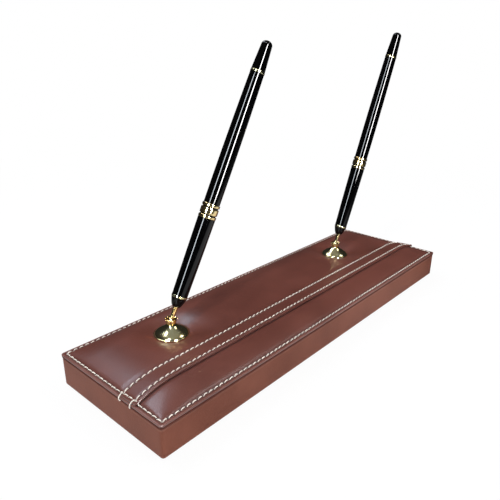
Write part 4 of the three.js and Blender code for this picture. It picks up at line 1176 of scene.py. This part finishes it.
# %% Profiles of a pen
NOSE_TIP, NOSE_RADIUS, NOSE_ROOT_RADIUS, NOSE_BORE = -1.1, 1.4, 1.6, 1.0
NOSE_STEP, NOSE_SOCKET = 3.0, 3.0
CONE_START, CONE_START_RADIUS = 9.2, 2.3
CONE_END, CONE_END_RADIUS = 15.2, 4.8
CONE_POWER = 0.62
CONE_SPACING = 1.6  # above 1 the points of its profile crowd at the tip, where it bends most
RING_WIDTH, RING_PROUD = 1.3, 0.14
LOWER_RADIUS, LOWER_BULGE = 5.35, 0.07
BAND_START = 65.9
BAND_WIDTHS, BAND_GROOVE = (1.7, 3.9, 1.7), 0.75
COLLAR_RADIUS, COUPLER_RADIUS, COUPLER_BORE, COUPLER_REACH = 4.8, 3.55, 2.95, 7.0
UPPER_RADIUS, UPPER_BULGE = 5.0, 0.25
UPPER_END, UPPER_END_RADIUS = 155.2, 4.3
CAP_LENGTH, CAP_RADIUS, CAP_DOME = 19.6, 3.35, 2.6
INNER_RADIUS, BARREL_BORE = 3.0, 3.75
FILM = 0.1  # between neighbouring parts
EASE = 0.12  # of the edges of lacquered parts
CONE_BORE, CAP_STEM = 1.8, 8  # room in the cone, and length of the cap's plug in the barrel
lower_start, lower_end = CONE_END + RING_WIDTH + 2 * FILM, BAND_START - FILM
upper_start = BAND_START + sum(BAND_WIDTHS) + 2 * BAND_GROOVE + FILM
cap_start = UPPER_END + RING_WIDTH + 2 * FILM


def sleeve(outside, inner=INNER_RADIUS):
    """A closed wall: the outside profile upwards, and a straight bore back down."""
    return np.vstack([[[inner, outside[0][1]]], outside, [[inner, outside[-1][1]]]])


def barrel(low, high, start_radius, end_radius, bulge):
    """A barrel with eased ends. Its side goes straight from one radius to the other, plus half a sine."""
    t = np.linspace(0, 1, 49)
    radius = start_radius + (end_radius - start_radius) * t + bulge * np.sin(math.pi * t)
    line = np.column_stack([radius, low + t * (high - low)])
    line[0, 1] += EASE
    line[-1, 1] -= EASE
    return sleeve(np.vstack([line[:1] - EASE, line, line[-1:] - [EASE, -EASE]]), BARREL_BORE)


def pen_ring(low, width, radius, inner=INNER_RADIUS):
    """A ring whose outside is slightly domed: proud times the square root of (1 - u to the fourth)."""
    u = np.linspace(-1, 1, 13)
    dome = radius + RING_PROUD * np.sqrt(np.clip(1 - u**4, 0, 1))
    return sleeve(np.column_stack([dome, low + width * (u + 1) / 2]), inner)


def coupler_profile():
    """A plug in each barrel, and between them the black collar that shows in the grooves of the bands."""
    low, high, collar_end = lower_end - COUPLER_REACH, upper_start + COUPLER_REACH, upper_start - FILM
    return np.array([(COUPLER_BORE, low), (COUPLER_RADIUS, low), (COUPLER_RADIUS, BAND_START),
                     (COLLAR_RADIUS, BAND_START), (COLLAR_RADIUS, collar_end), (COUPLER_RADIUS, collar_end),
                     (COUPLER_RADIUS, high), (COUPLER_BORE, high)])


def cap_profile():
    """A slow taper to a shoulder, then a quarter of an ellipse to the axis."""
    t = np.linspace(0, 1, 20)
    shoulder = UPPER_END + CAP_LENGTH - CAP_DOME
    angle = np.linspace(0, math.pi / 2, 16)[1:]
    taper = np.column_stack([UPPER_END_RADIUS + (CAP_RADIUS - UPPER_END_RADIUS) * t,
                             cap_start + (shoulder - cap_start) * t])
    dome = np.column_stack([CAP_RADIUS * np.cos(angle), shoulder + CAP_DOME * np.sin(angle)])
    dome[-1, 0] = 0
    stem = [[0, UPPER_END - CAP_STEM], [INNER_RADIUS, UPPER_END - CAP_STEM], [INNER_RADIUS, cap_start],
            [UPPER_END_RADIUS - EASE, cap_start]]
    taper[0, 1] += EASE
    return np.vstack([stem, taper, dome])


cone_t = np.linspace(0, 1, 24) ** CONE_SPACING
cone_side = np.column_stack([
    CONE_START_RADIUS + (CONE_END_RADIUS - CONE_START_RADIUS) * cone_t**CONE_POWER,
    CONE_START + cone_t * (CONE_END - CONE_START),
])
nose = eased([(NOSE_BORE, NOSE_TIP, 0), (NOSE_RADIUS, NOSE_TIP, 0.15), (NOSE_RADIUS, NOSE_STEP, 0.5),
              (NOSE_ROOT_RADIUS, CONE_START, 0.2), (NOSE_ROOT_RADIUS, CONE_START + NOSE_SOCKET, 0),
              (NOSE_BORE, CONE_START + NOSE_SOCKET, 0)])
lower_side = (lower_start, lower_end, CONE_END_RADIUS, LOWER_RADIUS, LOWER_BULGE)
upper_side = (upper_start, UPPER_END, UPPER_RADIUS, UPPER_END_RADIUS, UPPER_BULGE)
pen_parts = [
    ("nose_tube", nose, warm_gold_and_painted_reflection),
    ("nose_cone", sleeve(cone_side, CONE_BORE), lacquer),
    ("lower_ring", pen_ring(CONE_END + FILM, RING_WIDTH, CONE_END_RADIUS), gold),
    ("lower_barrel", barrel(*lower_side), lacquer),
    ("coupler", coupler_profile(), lacquer),
    ("upper_barrel", barrel(*upper_side), lacquer),
    ("upper_ring", pen_ring(UPPER_END + FILM, RING_WIDTH, UPPER_END_RADIUS), gold),
    ("end_cap", cap_profile(), lacquer),
]
band_low_s = BAND_START
for number, width in enumerate(BAND_WIDTHS, 1):
    ring = pen_ring(band_low_s, width, LOWER_RADIUS, COLLAR_RADIUS + 2 * FILM)
    pen_parts.append((f"band_{number}", ring, warm_gold_and_painted_reflection))
    band_low_s += width + BAND_GROOVE
for side, centre in ball_centres.items():
    for part, profile, finish in pen_parts:
        slot, body = "black_lacquer" if finish is lacquer else "gold", f"{side}_pen"
        lathe(f"{side}_{part}", profile, centre, pen_axes(side), body, finish, f"{body}_{part}")
print(len(pen_parts), "turned parts in each pen")

# %% [markdown]
# ## Pieces of the frame that stay
# The block, its felt, the stiffening board, the fittings under the bells and the inside of each pen already
# have their right shape in the frame. They keep it and get these finishes by the slot that the record gives.

# %% Finishes of the frame's own pieces
slot_of = {part["node"]: part["material_slot"] for part in frame["record"]["subparts"]}
finishes.update(gold=gold, black_lacquer=lacquer, foam=foam_finish, leather=side_leather_lit,
                lining_leather=side_leather_lit)
for name, obj in nodes.items():
    obj.data.materials.clear()
    obj.data.materials.append(finishes[slot_of[name]])
print(len(nodes), "frame pieces have a finish")

# %% [markdown]
# ## Finishing the scene
# Colours are shown as they are, with no film look.

# %% Finish
scene.view_settings.view_transform = "Standard"
